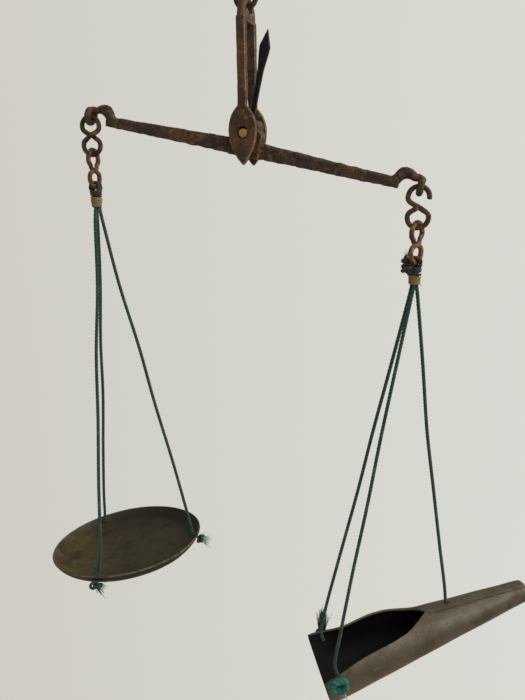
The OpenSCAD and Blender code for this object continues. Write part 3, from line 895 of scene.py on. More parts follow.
@dataclass
class TautCord:
    """One cord, from the binding through its hole to the knot behind it."""

    node: str
    side: Side
    route: tuple[Triple, ...]
    look: KnotLook
    fray_way: Triple = (0.0, 0.0, -1.0)
    diameter: float = 1.1 * MM
    knot_width: float = 3.864 * MM
    knot_diameter: float = 0.95 * MM
    loop_diameter: float = 2.1 * MM
    hitch_diameter: float = 0.8 * MM
    step: float = 0.36 * MM
    tuft_inside: bool = False

    def build(self) -> None:
        line = smooth_line([self.side.pivot + Vector(p) * MM for p in self.route], self.step)
        strands = Strands(self.node.replace("_cord", "_line"))
        strands.strand(line, self.diameter)
        cord = strands.dressed(CORD_DYE, self.side)
        pieces = [self.looped_knot(line) if self.look is KnotLook.LOOPED else self.tight_knot(line)]
        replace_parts(cord, self.node)
        if self.look is not KnotLook.PLAIN:
            pieces.append(self.fibres(line))

    def tight_knot(self, line: Line) -> Piece:
        """Makes the small knot behind the hole.

        Args:
            line: The cord's centre line.

        Returns:
            The knot.
        """
        way = (line[-1] - line[-4]).normalized()
        strands = Strands(self.node.replace("_cord", "_knot"))
        strands.knot(line[-1] + way * 0.2 * MM, way, self.knot_width, self.knot_diameter, 20)
        return strands.dressed(CORD_DYE, self.side)

    def looped_knot(self, line: Line) -> Piece:
        """Makes the wide knot: a ring of cord with an open eye, and a second turn across it.

        Args:
            line: The cord's centre line.

        Returns:
            The knot.
        """
        way = (line[-1] - line[-4]).normalized()
        across = way.cross(UP).normalized()
        centre = line[-1] + way * 0.5 * MM + (across * 1.8 + UP * 2.2) * MM
        turn = Matrix((across, UP, way)).transposed() * MM
        ring = [centre + turn @ Vector((2.35 * math.cos(a), math.sin(a) * (2.1 + 0.3 * math.cos(2 * a)),
                                        0.25 * math.sin(2 * a))) for a in full_turn(40)]
        hitch = [centre + turn @ Vector((0.8 * math.cos(a) - 2.0, 0.3 * math.sin(a) - 0.7,
                                         1.15 * math.sin(a))) for a in full_turn(30)]
        strands = Strands(self.node.replace("_cord", "_knot"))
        strands.strand(ring, self.loop_diameter, THICK_TWIST)
        strands.strand(hitch, self.hitch_diameter, TIGHT_TWIST)
        return strands.dressed(BRIGHT_DYE, self.side)

    def fibres(self, line: Line) -> Piece:
        """Makes the loose fibres at the cord's cut end.

        Args:
            line: The cord's centre line.

        Returns:
            The fibres.
        """
        strands = Strands(self.node.replace("_cord", "_fibres"))
        root = line[-1] + Vector(self.fray_way) * 0.6 * MM
        strands.fray(root, self.fray_way, self.look.value, len(self.node))
        if self.tuft_inside:
            strands.fray(line[-10] + UP * 0.6 * MM, (-0.3, 0.2, 1), INNER_FIBRES, 8)
        dark = self.tuft_inside or self.look is KnotLook.TUFTED
        return strands.dressed(CORD_DYE if dark else FRAY, self.side)


@dataclass
class BoundCords:
    """The cords doubled over the lower link's bar, and the twine that binds them below it."""

    side: Side
    cord_diameter: float = 1.1 * MM
    apart: float = 0.57 * MM
    loop_radius: float = 1.43 * MM
    waist: float = 0.62 * MM
    foot: float = -5.9 * MM
    wrap_top: float = -0.9 * MM
    wrap_turns: int = 3
    binding_top: float = -2.4 * MM
    binding_turns: int = 6
    twine: float = 0.6 * MM
    wrap_strand: float = 0.7 * MM
    wrap_radii: tuple[float, float] = (1.42 * MM, 1.4 * MM)
    twine_radii: tuple[float, float] = (1.42 * MM, 1.3 * MM)
    turn_steps: int = 24
    spare_end: bool = False

    def build(self) -> None:
        """Makes the doubled cords with their dark wrapping, and the twine under it."""
        strands = Strands(f"{self.side.word}_doubled_cords")
        for y in (-self.apart, self.apart):
            leg = [Vector((-self.waist, y, self.foot)), Vector((-self.waist, y, self.foot * 0.55)),
                   Vector((-0.8 * MM, y, -2.0 * MM)), Vector((-1.24 * MM, y, -0.76 * MM))]
            over = [Vector((-self.loop_radius * math.cos(a), y, self.loop_radius * math.sin(a)))
                    for a in full_turn(16)[:9]]
            back = [Vector((-p.x, p.y, p.z)) for p in reversed(leg)]
            self.add_cord(strands, [*leg, *over, *back], self.cord_diameter, 0.3 * MM)
        heights = (self.wrap_top, self.binding_top)
        self.wrap(strands, heights, self.wrap_strand, self.wrap_radii, self.wrap_turns)
        if self.spare_end:
            self.add_spare_end(strands)
        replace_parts(strands.dressed(OLD_CORD, self.side), f"{self.side.word}_cord_loop")
        self.build_binding()

    def add_cord(self, strands: Strands, points: Line, diameter: float, step: float) -> None:
        """Adds a cord through points that are measured from the link's bar."""
        strands.strand([self.side.pivot + p for p in smooth_line(points, step)], diameter)

    def wrap(self, strands: Strands, heights: tuple[float, float], thickness: float,
             radii: tuple[float, float], turns: int) -> Line:
        """Winds a strand round the bundle, some turns slack and crossing.

        Args:
            strands: The gathering to add it to.
            heights: Heights of the first and last turn.
            thickness: The strand's thickness.
            radii: Radii of the first and last turn.
            turns: How many there are.

        Returns:
            The strand's centre line.
        """
        chance = random.Random(turns + (7 if self.side is Side.PAN else 11))
        slack = [chance.uniform(-0.06, 0.16) * MM for _ in range(turns + 2)]
        tilt = [chance.uniform(-0.4, 0.4) * thickness for _ in range(turns + 2)]
        line: Line = []
        for i in range(turns * self.turn_steps + 1):
            k, step = divmod(i, self.turn_steps)
            share = step / self.turn_steps
            done = (k + share) / turns
            angle = math.tau * share
            radius = between(*radii, done) + between(slack[k], slack[k + 1], share)
            height = between(*heights, done) + between(tilt[k], tilt[k + 1], share) * math.cos(angle)
            spot = Vector((radius * math.cos(angle), radius * math.sin(angle), height))
            line.append(self.side.pivot + spot)
        strands.strand(line, thickness, TWINE_TWIST)
        return line

    def add_spare_end(self, strands: Strands) -> None:
        """Adds the spare end of cord, knotted twice beside the link.

        Args:
            strands: The gathering to add it to.
        """
        pivot = self.side.pivot
        route = ((-0.7, 0, -3.4), (-1.7, -0.3, -2.9), (-2.0, -0.4, -1.8), (-2.1, -0.3, 0.6))
        self.add_cord(strands, [Vector(p) * MM for p in route], 1.0 * MM, 0.25 * MM)
        strands.knot(pivot + Vector((-2.0, -0.4, -1.7)) * MM, Vector((0.2, 0, 1)), 4.4 * MM, 1.2 * MM, 40)
        strands.knot(pivot + Vector((-2.1, -0.3, 0.5)) * MM, Vector((0.4, 0, 1)), 3.7 * MM, 1.1 * MM, 10)
        strands.fray(pivot + Vector((-2.2, -0.3, 1.4)) * MM, (-0.25, 0, 1), SPARE_FIBRES, 5)

    def build_binding(self) -> None:
        """Winds the twine down the bundle and frays its end."""
        binding = Strands(f"{self.side.word}_twine")
        heights = (self.binding_top - self.twine / 2, self.foot + self.twine / 2)
        line = self.wrap(binding, heights, self.twine, self.twine_radii, self.binding_turns)
        binding.fray(line[-1], (0.5, -0.4, -1.0), TWINE_FIBRES, 3)
        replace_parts(binding.dressed(STRAW, self.side, "twine"), f"{self.side.word}_binding")


@dataclass
class WireLink:
    """Figure-eight link of forged wire, bent round two eyes and crossing at its waist."""

    node: str
    body: str
    top: Vector
    plane: Plane = Plane.ALONG
    opened: bool = False
    wire: float = 1.43 * MM
    height: float = 12.25 * MM
    width: float = 7.0 * MM
    shoulder: float = 1.7 * MM
    lap: float = 0.74 * MM
    open_drop: float = 14.0
    dents: float = 0.07 * MM
    dent_size: float = 1.6 * MM
    seed: float = 1.0
    swung: float = 0.0
    finish: Finish = LINK_IRON

    @property
    def eye(self) -> float:
        """Radius of the wire's centre line round an eye."""
        return (self.width - self.wire) / 2

    @property
    def crown(self) -> float:
        """Height of the upper eye's middle over the waist."""
        return (self.height - self.wire) / 2 - self.eye

    @property
    def out(self) -> float:
        """How far to the side the wire bends from an eye to the waist."""
        return self.eye - self.shoulder

    def build(self) -> None:
        """Bends the link, wears it, puts it in place and dresses it."""
        piece = self.bend_wire()
        use(piece, "SUBSURF", levels=1, render_levels=1)
        uneven(piece, self.dents, self.dent_size, self.seed)
        middle = self.top - UP * (self.height - self.wire) / 2
        turn = Matrix.Rotation(math.radians(self.plane.value + self.swung), 4, "Z")
        settle(piece, Matrix.Translation(middle) @ turn)
        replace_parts(piece, self.node)
        dress(piece, self.finish, "link_iron", self.body)

    def bend_wire(self) -> Piece:
        """Bends one length of wire into the figure eight, its waist at the origin.

        Returns:
            The bent wire.
        """
        eye, crown, out = self.eye, self.crown, self.out
        lean = math.degrees(math.atan2(crown, out) - math.asin(self.shoulder / math.hypot(out, crown)))
        start = -self.open_drop if self.opened else 0.0
        at = math.radians(start)
        deselect()
        bpy.ops.mesh.primitive_circle_add(
            vertices=12, radius=self.wire / 2, fill_type="NGON" if self.opened else "NOTHING",
            location=(eye * math.cos(at), 0, crown + eye * math.sin(at)), rotation=(0, -at, 0))
        piece = bpy.context.object
        piece.name = self.node.replace("_link", "_wire_link")
        bpy.ops.object.transform_apply(location=True, rotation=True)
        begin_edit(piece)
        self.turn(180 - start, 0, crown, 14)
        self.turn(90 - lean, -out, crown, 5)
        self.strand(-1, lean, self.lap)
        self.turn(lean - 90, out, -crown, 5)
        self.turn(-180, 0, -crown, 14)
        self.turn(lean - 90, -out, -crown, 5)
        self.strand(1, lean, -self.lap, half=self.opened)
        if not self.opened:
            self.turn(90 - lean, out, crown, 5)
        end_edit(merge=0.05 * MM)
        return piece

    def turn(self, degrees: float, x: float, z: float, steps: int) -> None:
        """Bends the wire's end about a point in the link's plane, by an angle from +X towards +Z."""
        bpy.ops.mesh.spin(steps=steps, angle=math.radians(degrees), center=(x, 0, z), axis=(0, 1, 0))

    def strand(self, way: int, lean: float, lap: float, half: bool = False, count: int = 8) -> None:
        """Draws the wire through the waist, bowed out of the plane to pass the other strand.

        Args:
            way: -1 down to the right, 1 up to the right.
            lean: The strand's angle to the link's width, in degrees.
            lap: How far it bows out of the plane at the waist.
            half: Whether it stops at the waist.
            count: Steps in a whole strand.
        """
        length = math.sqrt(math.hypot(self.out, self.crown) ** 2 - self.shoulder ** 2)
        run = Vector((math.cos(math.radians(lean)), 0, way * math.sin(math.radians(lean))))
        before = 0.0
        for i in range(1, (count // 2 if half else count) + 1):
            bow = lap * 0.5 * (1 + math.cos(math.pi * (-1 + 2 * i / count)))
            step = run * (2 * length / count) + Vector((0, bow - before, 0))
            before = bow
            bpy.ops.mesh.extrude_region_move(TRANSFORM_OT_translate={"value": step})


@dataclass(frozen=True)
class Forging:
    """One forged piece: the solid that gives its shape, how its skin is hammered, and its finish."""

    node: str
    finish: Finish
    slot: str
    body: str
    voxel: float
    roundness: int
    dents: float
    dent_size: float
    seed: float

    def build(self, change: Callable[[Vector], Vector] | None = None, place: Matrix | None = None) -> None:
        """Makes the solid's skin again, rounds its edges, dents it and dresses it.

        Args:
            change: Moves a point of the skin before it is dented, or None.
            place: The frame that the move works in.
        """
        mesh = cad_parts[self.node].data.copy()
        mesh.materials.clear()
        piece = add_object(f"forged_{self.node}", mesh)
        use(piece, "REMESH", mode="VOXEL", voxel_size=self.voxel)
        use(piece, "SMOOTH", factor=0.5, iterations=self.roundness)
        bpy.ops.object.shade_smooth()
        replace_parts(piece, self.node)
        if change:
            reshape(piece, change, place)
        uneven(piece, self.dents, self.dent_size, self.seed)
        dress(piece, self.finish, self.slot, self.body)


@dataclass
class Shears:
    """The forged shears that carry the beam."""

    forging: Forging = Forging("shears", SHEARS_IRON, "shears_iron", "shears", 0.16 * MM, 5, 0.13 * MM,
                               2.6 * MM, 4.0)

    def build(self) -> None:
        """Forges the shears and dresses them."""
        self.forging.build()


@dataclass
class Beam:
    """The forged beam with its swan necks, and the knife pin and pointer fixed in it."""

    bar: Forging = Forging("beam", BEAM_IRON, "beam_iron", "beam", 0.18 * MM, 9, 0.3 * MM, 2.2 * MM, 9.0)
    pin: Forging = Forging("knife_pin", PIN_BRASS, "pin_brass", "beam", 0.12 * MM, 8, 0.02 * MM,
                           1.0 * MM, 2.0)
    pointer: Forging = Forging("pointer", POINTER_IRON, "pointer_iron", "beam", 0.1 * MM, 3, 0.05 * MM,
                               2.0 * MM, 6.0)
    tilt: float = 12.17
    centre: Triple = (0.0, 0.0, -42.77)
    eye_along: float = 48.65 * MM
    eye_up: float = -2.5 * MM
    eye_rim: tuple[float, float, float] = (1.75 * MM, 2.25 * MM, 3.15 * MM)
    neck_at: float = -5.5 * MM
    neck_half: float = 4 * MM
    neck_rise: float = 0.65 * MM
    lug_half: float = 6 * MM
    head_from: float = 23.2 * MM
    narrowing: float = 0.3

    def build(self) -> None:
        """Forges the beam, the pin and the pointer and dresses them."""
        place = placed(Vector(), self.centre, (0, self.tilt, 0))
        self.bar.build(self.draw_out, place)
        self.pin.build()
        self.pointer.build(self.draw_down, place)

    def draw_out(self, spot: Vector) -> Vector:
        """Rounds the eyes' outer corners, fills out the swan necks and narrows the lug.

        Args:
            spot: A point of the beam's surface, in the beam's own frame.

        Returns:
            Its place as the forging left it.
        """
        side = math.copysign(1.0, spot.x)
        out, up = spot.x * side - self.eye_along, spot.z - self.eye_up
        reach, angle = math.hypot(out, up), math.degrees(math.atan2(up, out))
        if out > -self.neck_half and -40 < angle < 125:
            end, heel, root = self.eye_rim
            limit = end + (heel - end) * eased(angle, 35, 90) + (root - heel) * eased(angle, 85, 125)
            if reach > limit:
                share = (limit + 0.15 * (reach - limit)) / reach
                return Vector(((self.eye_along + out * share) * side, spot.y, self.eye_up + up * share))
        neck = 1 - abs(out - self.neck_at) / self.neck_half
        if neck > 0:
            spot.z += self.neck_rise * eased(neck, 0, 1) * eased(up, 1.0 * MM, 3.0 * MM)
        if abs(spot.x) < self.lug_half:
            spot.x *= 1 - self.narrowing * eased(spot.z, 1.2 * MM, 3.2 * MM)
        return spot

    def draw_down(self, spot: Vector) -> Vector:
        """Thins the pointer's stem below its head.

        Args:
            spot: A point of the pointer's surface, in the beam's own frame.

        Returns:
            Its place on the thinner stem.
        """
        below = self.head_from - spot.z
        spot.x *= 1 - self.narrowing * eased(below, 0.0, 6 * MM) * (1 - eased(below, 9 * MM, 20 * MM))
        return spot


@dataclass
class RoundPan:
    """The shallow round pan, drawn up from a disc and pierced for its three cords."""

    place: Triple = (0.3, 2.1, -121.1)
    lean: Triple = (-3.4, -7.3, 0.0)
    radius: float = 26.0 * MM
    depth: float = 4.2 * MM
    sheet: float = 0.6 * MM
    bend: float = 8.0 * MM
    rounding: float = 0.14 * MM
    holes: tuple[float, ...] = (14.0, 141.0, 274.0)
    hole_slope: float = 47.0
    hole_diameter: float = 1.7 * MM
    sides: int = 192
    wall_rings: int = 14
    floor_rings: int = 24
    dents: float = 0.2 * MM
    dent_size: float = 7 * MM
    fine_dents: float = 0.05 * MM
    fine_size: float = 1.8 * MM
    out_of_round: float = 0.003

    @property
    def curve(self) -> float:
        """Angle of the bend from the floor to the rim, in radians."""
        return math.acos(1 - self.depth / self.bend)

    def wall_at(self, angle: float) -> tuple[float, float]:
        """Gives the radius and the height over the floor, an angle up the bend."""
        floor_radius = self.radius - (self.bend + self.sheet) * math.sin(self.curve)
        return floor_radius + self.bend * math.sin(angle), self.bend * (1 - math.cos(angle))

    def build(self) -> None:
        """Raises the wall ring by ring, pierces the sheet, gives it its thickness and dresses it."""
        wall = [self.wall_at(self.curve * i / self.wall_rings) for i in range(self.wall_rings, -1, -1)]
        floor = [(wall[-1][0] * i / self.floor_rings, 0.0) for i in range(self.floor_rings - 1, 0, -1)]
        deselect()
        bpy.ops.mesh.primitive_circle_add(vertices=self.sides, radius=wall[0][0])
        piece = bpy.context.object
        piece.name = "drawn_pan"
        begin_edit(piece)
        for (wide, above), (radius, height) in pairwise([*wall, *floor]):
            bpy.ops.mesh.extrude_region_move(TRANSFORM_OT_translate={"value": (0, 0, height - above)})
            bpy.ops.transform.resize(value=(radius / wide, radius / wide, 1), center_override=(0, 0, 0))
        bpy.ops.mesh.merge(type="CENTER")
        end_edit(merge=0.001 * MM)
        for angle in self.holes:
            out, height = self.wall_at(math.radians(self.hole_slope))
            centre = Matrix.Rotation(math.radians(angle), 3, "Z") @ Vector((out, 0, height - self.depth))
            punch(piece, centre, self.hole_diameter)
        reshape(piece, self.hammered, Matrix.Identity(4))
        thicken(piece, self.sheet, self.outward(piece), self.rounding)
        self.mark_rim_highlight_and_shade(piece)
        settle(piece, placed(LEFT_PIVOT, self.place, self.lean))
        smooth_curves(piece)
        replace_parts(piece, "round_pan")
        dress(piece, PAN_BRONZE, "pan_bronze", "pan")

    def outward(self, piece: Piece) -> float:
        """Gives the Solidify offset that lets the sheet grow outwards, whichever way it faces."""
        return -1.0 if sum(f.normal.z * f.area for f in piece.data.polygons) > 0 else 1.0

    def hammered(self, spot: Vector) -> Vector:
        """Leaves the floor and wall a little uneven, and the rim not quite round.

        Args:
            spot: A point of the sheet, level and about the pan's axis.

        Returns:
            Its place on the hammered sheet.
        """
        x, y, z = spot
        out = math.hypot(x, y) / self.radius
        inner = 1 - 0.75 * min(1.0, out) ** 4
        z += self.dents * inner * noise.noise(Vector((x, y, 0)) / self.dent_size)
        z += self.fine_dents * inner * noise.noise(Vector((x, y, 3)) / self.fine_size)
        wave = 1 - self.out_of_round * (1 + math.sin(3 * math.atan2(y, x) + 1.0)) * out ** 6
        return Vector((x * wave, y * wave, z))

    def mark_rim_highlight_and_shade(self, piece: Piece) -> None:
        """Marks the painted highlight on the rim, and the darker outside with painted shade on the far inner
        wall, for the finish to read.

        Args:
            piece: The pan with its thickness, still level.
        """
        rim_highlights, dark_outside_and_far_shade = [], []
        for vertex in piece.data.vertices:
            x, y, z = vertex.co
            radius = math.hypot(x, y)
            front = 1 - eased(y, -0.4 * self.radius, 0.5 * self.radius)
            on_rim = eased(radius, self.radius - 1.4 * MM, self.radius - 0.7 * MM)
            # Painted highlight on the rim, strongest at the front.
            rim_highlights.append(eased(z, -0.45 * MM, -0.2 * MM) * on_rim * (0.3 + 0.7 * front))
            normal = vertex.normal
            outward = (normal.x * x + normal.y * y) / radius if radius > 1 * MM else -normal.z
            # Painted shade on the inner wall at the back; faces that look outwards are marked darker too.
            far_wall_shade = (1 - front) * eased(-outward, 0.25, 0.6)
            dark_outside_and_far_shade.append(max(0.85 * eased(outward, 0.1, 0.3), 0.7 * far_wall_shade))
        mark(piece, "rim", rim_highlights)
        mark(piece, "outside", dark_outside_and_far_shade)


@dataclass
class RolledScoop:
    """The scoop: one sheet rolled into a cone, its edges lapped on top and cut away at the mouth."""

    place: Triple = (-23.0, -9.5, -130.2)
    lean: Triple = (0.0, -15.2, 26.2)
    length: float = 73.0 * MM
    mouth: float = 21.5 * MM
    spout: float = 6.6 * MM
    sheet: float = 0.6 * MM
    rounding: float = 0.1 * MM
    cut: float = 38.0 * MM
    cut_height: float = 3.5 * MM
    near_sweep: float = 1.7
    far_sweep: float = 2.4
    near_dip: float = 0.9 * MM
    far_wave: float = 0.5 * MM
    edge_dents: float = 0.12 * MM
    edge_grain: float = 4 * MM
    lap: float = 2.0 * MM
    lap_from: float = 1.5 * MM
    lap_rise: float = 0.45 * MM
    rise_from: float = 5 * MM
    flare: float = 1.5 * MM
    corner_flare: float = 1.3 * MM
    flare_turn: float = 0.8
    dents: float = 0.13 * MM
    dent_size: float = 9 * MM
    ragged: float = 0.35 * MM
    worn_short: float = 0.5 * MM
    tongue_at: float = 0.5
    hole_diameter: float = 1.7 * MM
    side_hole: tuple[float, float] = (4.7, 83.0)
    top_hole: tuple[float, float] = (46.2, 6.0)
    rows: int = 170
    columns: int = 130

    def radius_at(self, along: float) -> float:
        """Gives the cone's outside radius at a distance from the mouth."""
        return (self.mouth + (self.spout - self.mouth) * along / self.length) / 2

    def edge_at(self, along: float, far: bool) -> float:
        """Gives where the sheet's edge lies, as an angle from the top.

        Args:
            along: Distance from the mouth.
            far: Whether it is the far edge, which dips and then rises.

        Returns:
            The angle in radians, less than 0 where the sheet laps over.
        """
        radius = self.radius_at(along)
        if along >= self.cut:
            return -self.lap / radius * min(1.0, (along - self.cut) / self.lap_from) if far else 0.0
        share = along / self.cut
        top = self.radius_at(self.cut)
        height = top - (top - self.cut_height) * (1 - share) ** (self.far_sweep if far else self.near_sweep)
        if far:
            height += self.far_wave * math.sin(math.pi * share) * math.sin(1.7 * math.pi * share - 0.5)
        else:
            height -= self.near_dip * eased(share, 0.3, 0.7) * (1 - eased(share, 0.75, 1.0))
        height += self.edge_dents * noise.noise(Vector((along / self.edge_grain, 5.0 if far else 1.0, 0)))
        return math.acos(max(-1.0, min(0.99999, height / radius)))

    def wall_at(self, along: float, angle: float, to_far: float) -> float:
        """Gives how far the middle of the sheet lies from the cone's axis.

        Args:
            along: Distance from the mouth.
            angle: Angle from the top.
            to_far: Angle that is left to the far edge.

        Returns:
            The distance, with the lap, the flared far edge and the dents.
        """
        radius = self.radius_at(along)
        lapped = max(0.0, 1 - to_far * radius / (self.lap * 1.3))
        lapped *= min(1.0, max(0.0, (along - self.cut) / self.rise_from))
        share = along / self.cut
        flare = self.flare * eased(share, 0.3, 0.62) * (1 - eased(share, 0.66, 1.0))
        flare += self.corner_flare * (1 - eased(share, 0.0, 0.3))
        dent = noise.noise(Vector((along / self.dent_size, math.cos(angle) * 2, math.sin(angle) * 2)))
        return (radius - self.sheet / 2 + self.lap_rise * lapped + self.dents * dent
                + flare * (1 - eased(to_far, 0.0, self.flare_turn)))

    def rolled(self, u: float, v: float) -> tuple[Vector, float]:
        """Gives where a point of the flat sheet lies once it is rolled.

        Args:
            u: Its share of the length, 0 at the mouth.
            v: Its share of the way round, 0 at the near edge.

        Returns:
            Its place, and how far under the scoop it lies: 0 on top, 1 underneath.
        """
        along = self.length * u
        near, far = self.edge_at(along, False), self.edge_at(along, True)
        angle = near + (math.tau - near - far) * v
        radius = self.wall_at(along, angle, (math.tau - near - far) * (1 - v))
        if u > 0.999:
            tongue = max(0.0, 1 - abs(angle - self.tongue_at) / self.tongue_at)
            along += self.ragged * noise.noise(Vector((angle * 2, 0, 7))) - self.worn_short * (1 - tongue)
        return Vector((along, -radius * math.sin(angle), radius * math.cos(angle))), (1 - math.cos(angle)) / 2

    def build(self) -> None:
        """Rolls the sheet, pierces it, gives it its thickness and dresses it."""
        deselect()
        bpy.ops.mesh.primitive_grid_add(x_subdivisions=self.rows, y_subdivisions=self.columns, size=1)
        piece = bpy.context.object
        piece.name = "rolled_scoop"
        levels = []
        for vertex in piece.data.vertices:
            u, v = (min(1.0, max(0.0, c + 0.5)) for c in vertex.co.xy)
            vertex.co, level = self.rolled(u, v)
            levels.append(level)
        mark(piece, "under", levels)
        begin_edit(piece)
        end_edit()
        for along, angle in (self.side_hole, (self.side_hole[0], -self.side_hole[1]), self.top_hole):
            turn = Matrix.Rotation(math.radians(-angle), 3, "X")
            centre = Vector((along * MM, 0, self.radius_at(along * MM) - self.sheet / 2))
            punch(piece, turn @ centre, self.hole_diameter)
        thicken(piece, self.sheet, 0.0, self.rounding)
        dress(piece, SCOOP_STEEL, "scoop_steel", "scoop")
        # Painted shade on the inside of the cone.
        self.paint_inside_shade(piece)
        settle(piece, placed(RIGHT_PIVOT, self.place, self.lean))
        smooth_curves(piece)
        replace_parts(piece, "scoop")

    def paint_inside_shade(self, piece: Piece) -> None:
        """Gives the faces that look towards the cone's axis a near-black finish: painted shade inside the
        cone.

        Args:
            piece: The scoop, still in its own frame.
        """
        piece.data.materials.append(SCOOP_INSIDE_SHADE.material())
        for face in piece.data.polygons:
            _, y, z = face.center
            inwards = -(face.normal.y * y + face.normal.z * z) / math.hypot(y, z)
            face.material_index = 1 if inwards > 0.3 else 0


LEFT_FRONT = (
    (-0.12, -0.65, -5.9), (-0.2, -1.6, -11), (0.6, -4.8, -30), (0.5, -8.6, -50), (1.3, -12.2, -70),
    (1.6, -15.6, -90), (2.4, -19.0, -108), (2.2, -20.8, -118), (1.9, -21.4, -120.2), (2.1, -22.2, -121.1),
    (2.2, -22.9, -121.7), (2.3, -23.6, -122.3))
LEFT_BACK = (
    (-0.51, 0.43, -5.9), (-0.9, 1.1, -11), (-3.2, 3.6, -30), (-6.4, 6.2, -50), (-9.0, 9.2, -70),
    (-12.2, 11.8, -90), (-15.4, 14.7, -110), (-17.0, 16.4, -122.6), (-17.5, 16.8, -125.1),
    (-18.1, 17.3, -126.1), (-18.5, 17.7, -126.8), (-19.0, 18.1, -127.5))
LEFT_INNER = (
    (0.62, 0.23, -5.9), (1.4, 0.5, -11), (4.7, 1.6, -30), (9.3, 2.9, -50), (13.0, 4.4, -70),
    (17.4, 5.7, -90), (20.8, 7.1, -108), (22.6, 7.7, -117.6), (23.1, 7.8, -119.4), (24.0, 7.9, -120.1),
    (24.8, 8.0, -120.7), (25.5, 8.2, -121.2))
SCOOP_FAR = (
    (-0.58, 0.33, -5.9), (-1.5, 0.4, -11), (-5.4, 0.2, -30), (-9.6, -0.4, -50), (-13.5, -0.6, -70),
    (-18.0, -1.2, -91), (-22.0, -1.5, -110), (-24.0, -1.6, -121), (-23.8, -0.9, -124.6),
    (-23.5, -0.2, -126.6), (-23.5, 0.6, -127.4), (-24.0, 1.7, -127.7), (-24.4, 2.6, -127.8),
    (-24.8, 3.4, -127.8))
SCOOP_NEAR = (
    (0, -0.67, -5.9), (-0.8, -1.4, -11), (-3.8, -3.6, -30), (-6.9, -6.2, -50), (-9.7, -8.8, -70),
    (-13.0, -11.5, -91), (-15.7, -14.0, -110), (-17.2, -15.2, -121), (-16.6, -15.4, -124.6),
    (-15.8, -15.5, -126.6), (-15.2, -16.0, -127.4), (-14.7, -17.1, -127.6), (-14.2, -18.0, -127.7),
    (-13.8, -18.8, -127.7))
SCOOP_SPOUT = (
    (0.58, 0.33, -5.9), (1.3, 0.7, -11), (3.6, 2.4, -30), (5.8, 4.2, -50), (8.8, 6.2, -70),
    (11.8, 8.3, -90), (14.2, 9.8, -105), (15.0, 10.0, -111.4), (15.3, 10.1, -112.6), (15.9, 10.1, -114.9))


@dataclass(frozen=True)
class Softbox:
    """One soft light that faces the middle of the scale."""

    name: str
    place: Triple
    size: float
    power: float
    tint: Colour
    aim: Triple = (0.0, 0.0, -0.11)

    def build(self) -> None:
        """Places the light."""
        data = bpy.data.lights.new(self.name, "AREA")
        data.size = self.size
        data.energy = self.power
        data.color = self.tint
        light = add_object(self.name, data)
        light.location = self.place
        light.rotation_euler = (Vector(self.aim) - Vector(self.place)).to_track_quat("-Z", "Y").to_euler()


@dataclass
class Studio:
    """The camera at the photograph's angle, soft lights, and a pale ground and wall."""

    eye: Triple = (0.052195, -0.174035, -0.052573)
    turn: Triple = (74.4133, 0.7126, 15.5046)
    lens: float = 32.06
    wall_y: float = 0.25
    wall_height: float = 1.5
    ground_z: float = -0.7
    reach: float = 1.6
    air: Colour = (0.86, 0.87, 0.85)
    air_strength: float = 0.38
    lights: tuple[Softbox, ...] = (
        Softbox("key", (0.62, -0.48, 0.32), 0.45, 3.1, (1.0, 0.97, 0.93)),
        Softbox("fill", (-0.6, -0.6, 0.05), 0.9, 0.7, (0.93, 0.97, 1.0)),
        Softbox("rim", (0.55, 0.16, 0.25), 0.3, 3.0, (1.0, 0.98, 0.95)),
    )

    def build_camera(self) -> None:
        """Places the camera."""
        data = bpy.data.cameras.new("camera")
        data.sensor_fit = "VERTICAL"
        data.sensor_height = 36.0
        data.lens = self.lens
        data.clip_start = 5 * MM
        camera = add_object("camera", data)
        camera.location = self.eye
        camera.rotation_euler = [math.radians(a) for a in self.turn]
        bpy.context.scene.camera = camera

    def build_lights(self) -> None:
        """Places the lights and the pale surround."""
        for light in self.lights:
            light.build()
        world = bpy.data.worlds.new("surround")
        bpy.context.scene.world = world
        world.use_nodes = True
        Wiring(world.node_tree).fill(world.node_tree.nodes["Background"],
                                     {"Color": self.air, "Strength": self.air_strength})
        bpy.context.scene.view_settings.view_transform = "Standard"

    def build_ground(self) -> None:
        """Makes the ground and the wall behind it as one bent sheet."""
        deselect()
        bpy.ops.mesh.primitive_plane_add(size=1)
        sheet = bpy.context.object
        sheet.name = "ground_and_wall"
        sheet.data.transform(Matrix.Diagonal((2 * self.reach, self.reach + self.wall_y, 1, 1)))
        sheet.data.transform(Matrix.Translation((0, (self.wall_y - self.reach) / 2, self.ground_z)))
        begin_edit(sheet)
        bpy.ops.mesh.select_mode(type="EDGE")
        bpy.ops.mesh.select_all(action="DESELECT")
        bm = bmesh.from_edit_mesh(sheet.data)
        for edge in bm.edges:
            edge.select = all(v.co.y > self.wall_y - 1 * MM for v in edge.verts)
        bmesh.update_edit_mesh(sheet.data)
        bpy.ops.mesh.extrude_region_move(TRANSFORM_OT_translate={"value": (0, 0, self.wall_height)})
        bpy.ops.mesh.select_mode(type="VERT")
        bpy.ops.object.mode_set(mode="OBJECT")
        sheet.data.materials.append(WALL.material())


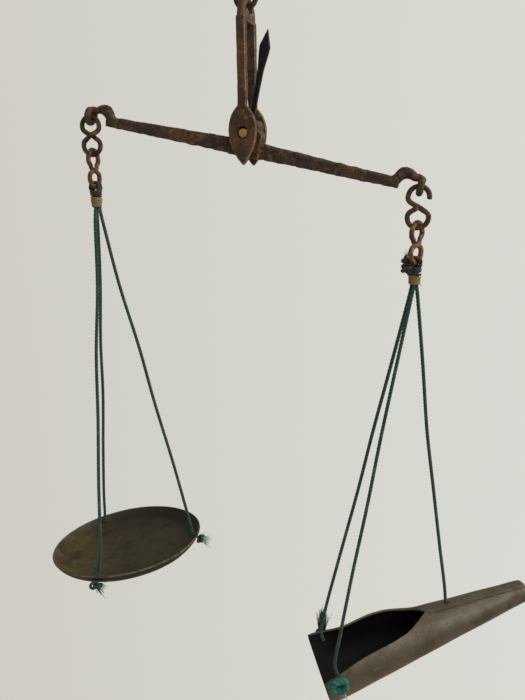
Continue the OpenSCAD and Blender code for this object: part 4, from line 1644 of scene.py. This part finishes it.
@dataclass
class BalanceScale:
    """The whole scale, sub-assembly by sub-assembly, from the cords up."""

    cords: tuple[TautCord, ...] = (
        TautCord("left_front_cord", Side.PAN, LEFT_FRONT, KnotLook.FRAYED, (0.8, -0.3, 0.0),
                knot_width=4.536 * MM, tuft_inside=True),
        TautCord("left_back_cord", Side.PAN, LEFT_BACK, KnotLook.FRAYED, (-0.5, 0.5, -0.6)),
        TautCord("left_inner_cord", Side.PAN, LEFT_INNER, KnotLook.FRAYED, (1.0, 0.1, -0.1)),
        TautCord("scoop_near_cord", Side.SCOOP, SCOOP_NEAR, KnotLook.LOOPED, (0.1, -0.3, -1.0)),
        TautCord("scoop_far_cord", Side.SCOOP, SCOOP_FAR, KnotLook.TUFTED, (0.02, 0.2, 1.0),
                knot_width=4.536 * MM),
        TautCord("scoop_spout_cord", Side.SCOOP, SCOOP_SPOUT, KnotLook.PLAIN, knot_width=2.856 * MM),
    )
    bound: tuple[BoundCords, ...] = (
        BoundCords(Side.PAN),
        BoundCords(Side.SCOOP, wrap_turns=4, binding_top=-3.0 * MM, binding_turns=5, spare_end=True),
    )
    links: tuple[WireLink, ...] = (
        WireLink("hanger_link", "hanger", UP * 0.7 * MM),
        WireLink("left_upper_link", "left_upper", LEFT_PIVOT + UP * UPPER_TOP, seed=2.0),
        WireLink("left_lower_link", "left_lower", LEFT_PIVOT + UP * LOWER_TOP, Plane.ACROSS, seed=3.0,
                 finish=ORANGE_IRON),
        WireLink("right_upper_link", "right_upper", RIGHT_PIVOT + UP * UPPER_TOP, opened=True, seed=4.0),
        WireLink("right_lower_link", "right_lower", RIGHT_PIVOT + UP * LOWER_TOP, Plane.ACROSS, seed=5.0,
                 swung=-27.0, finish=ORANGE_IRON),
    )

    def build(self) -> None:
        """Builds every sub-assembly in order."""
        for part in (*self.cords, *self.bound, *self.links, Shears(), Beam(), RoundPan(), RolledScoop()):
            part.build()
            LOG.info("built %s", type(part).__name__)


def main() -> None:
    """Builds the scale and its studio."""
    logging.basicConfig(level=logging.INFO, format="%(relativeCreated)d %(name)s %(message)s")
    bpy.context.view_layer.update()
    studio = Studio()
    studio.build_camera()
    BalanceScale().build()
    studio.build_lights()
    studio.build_ground()


if __name__ == "__main__":
    main()
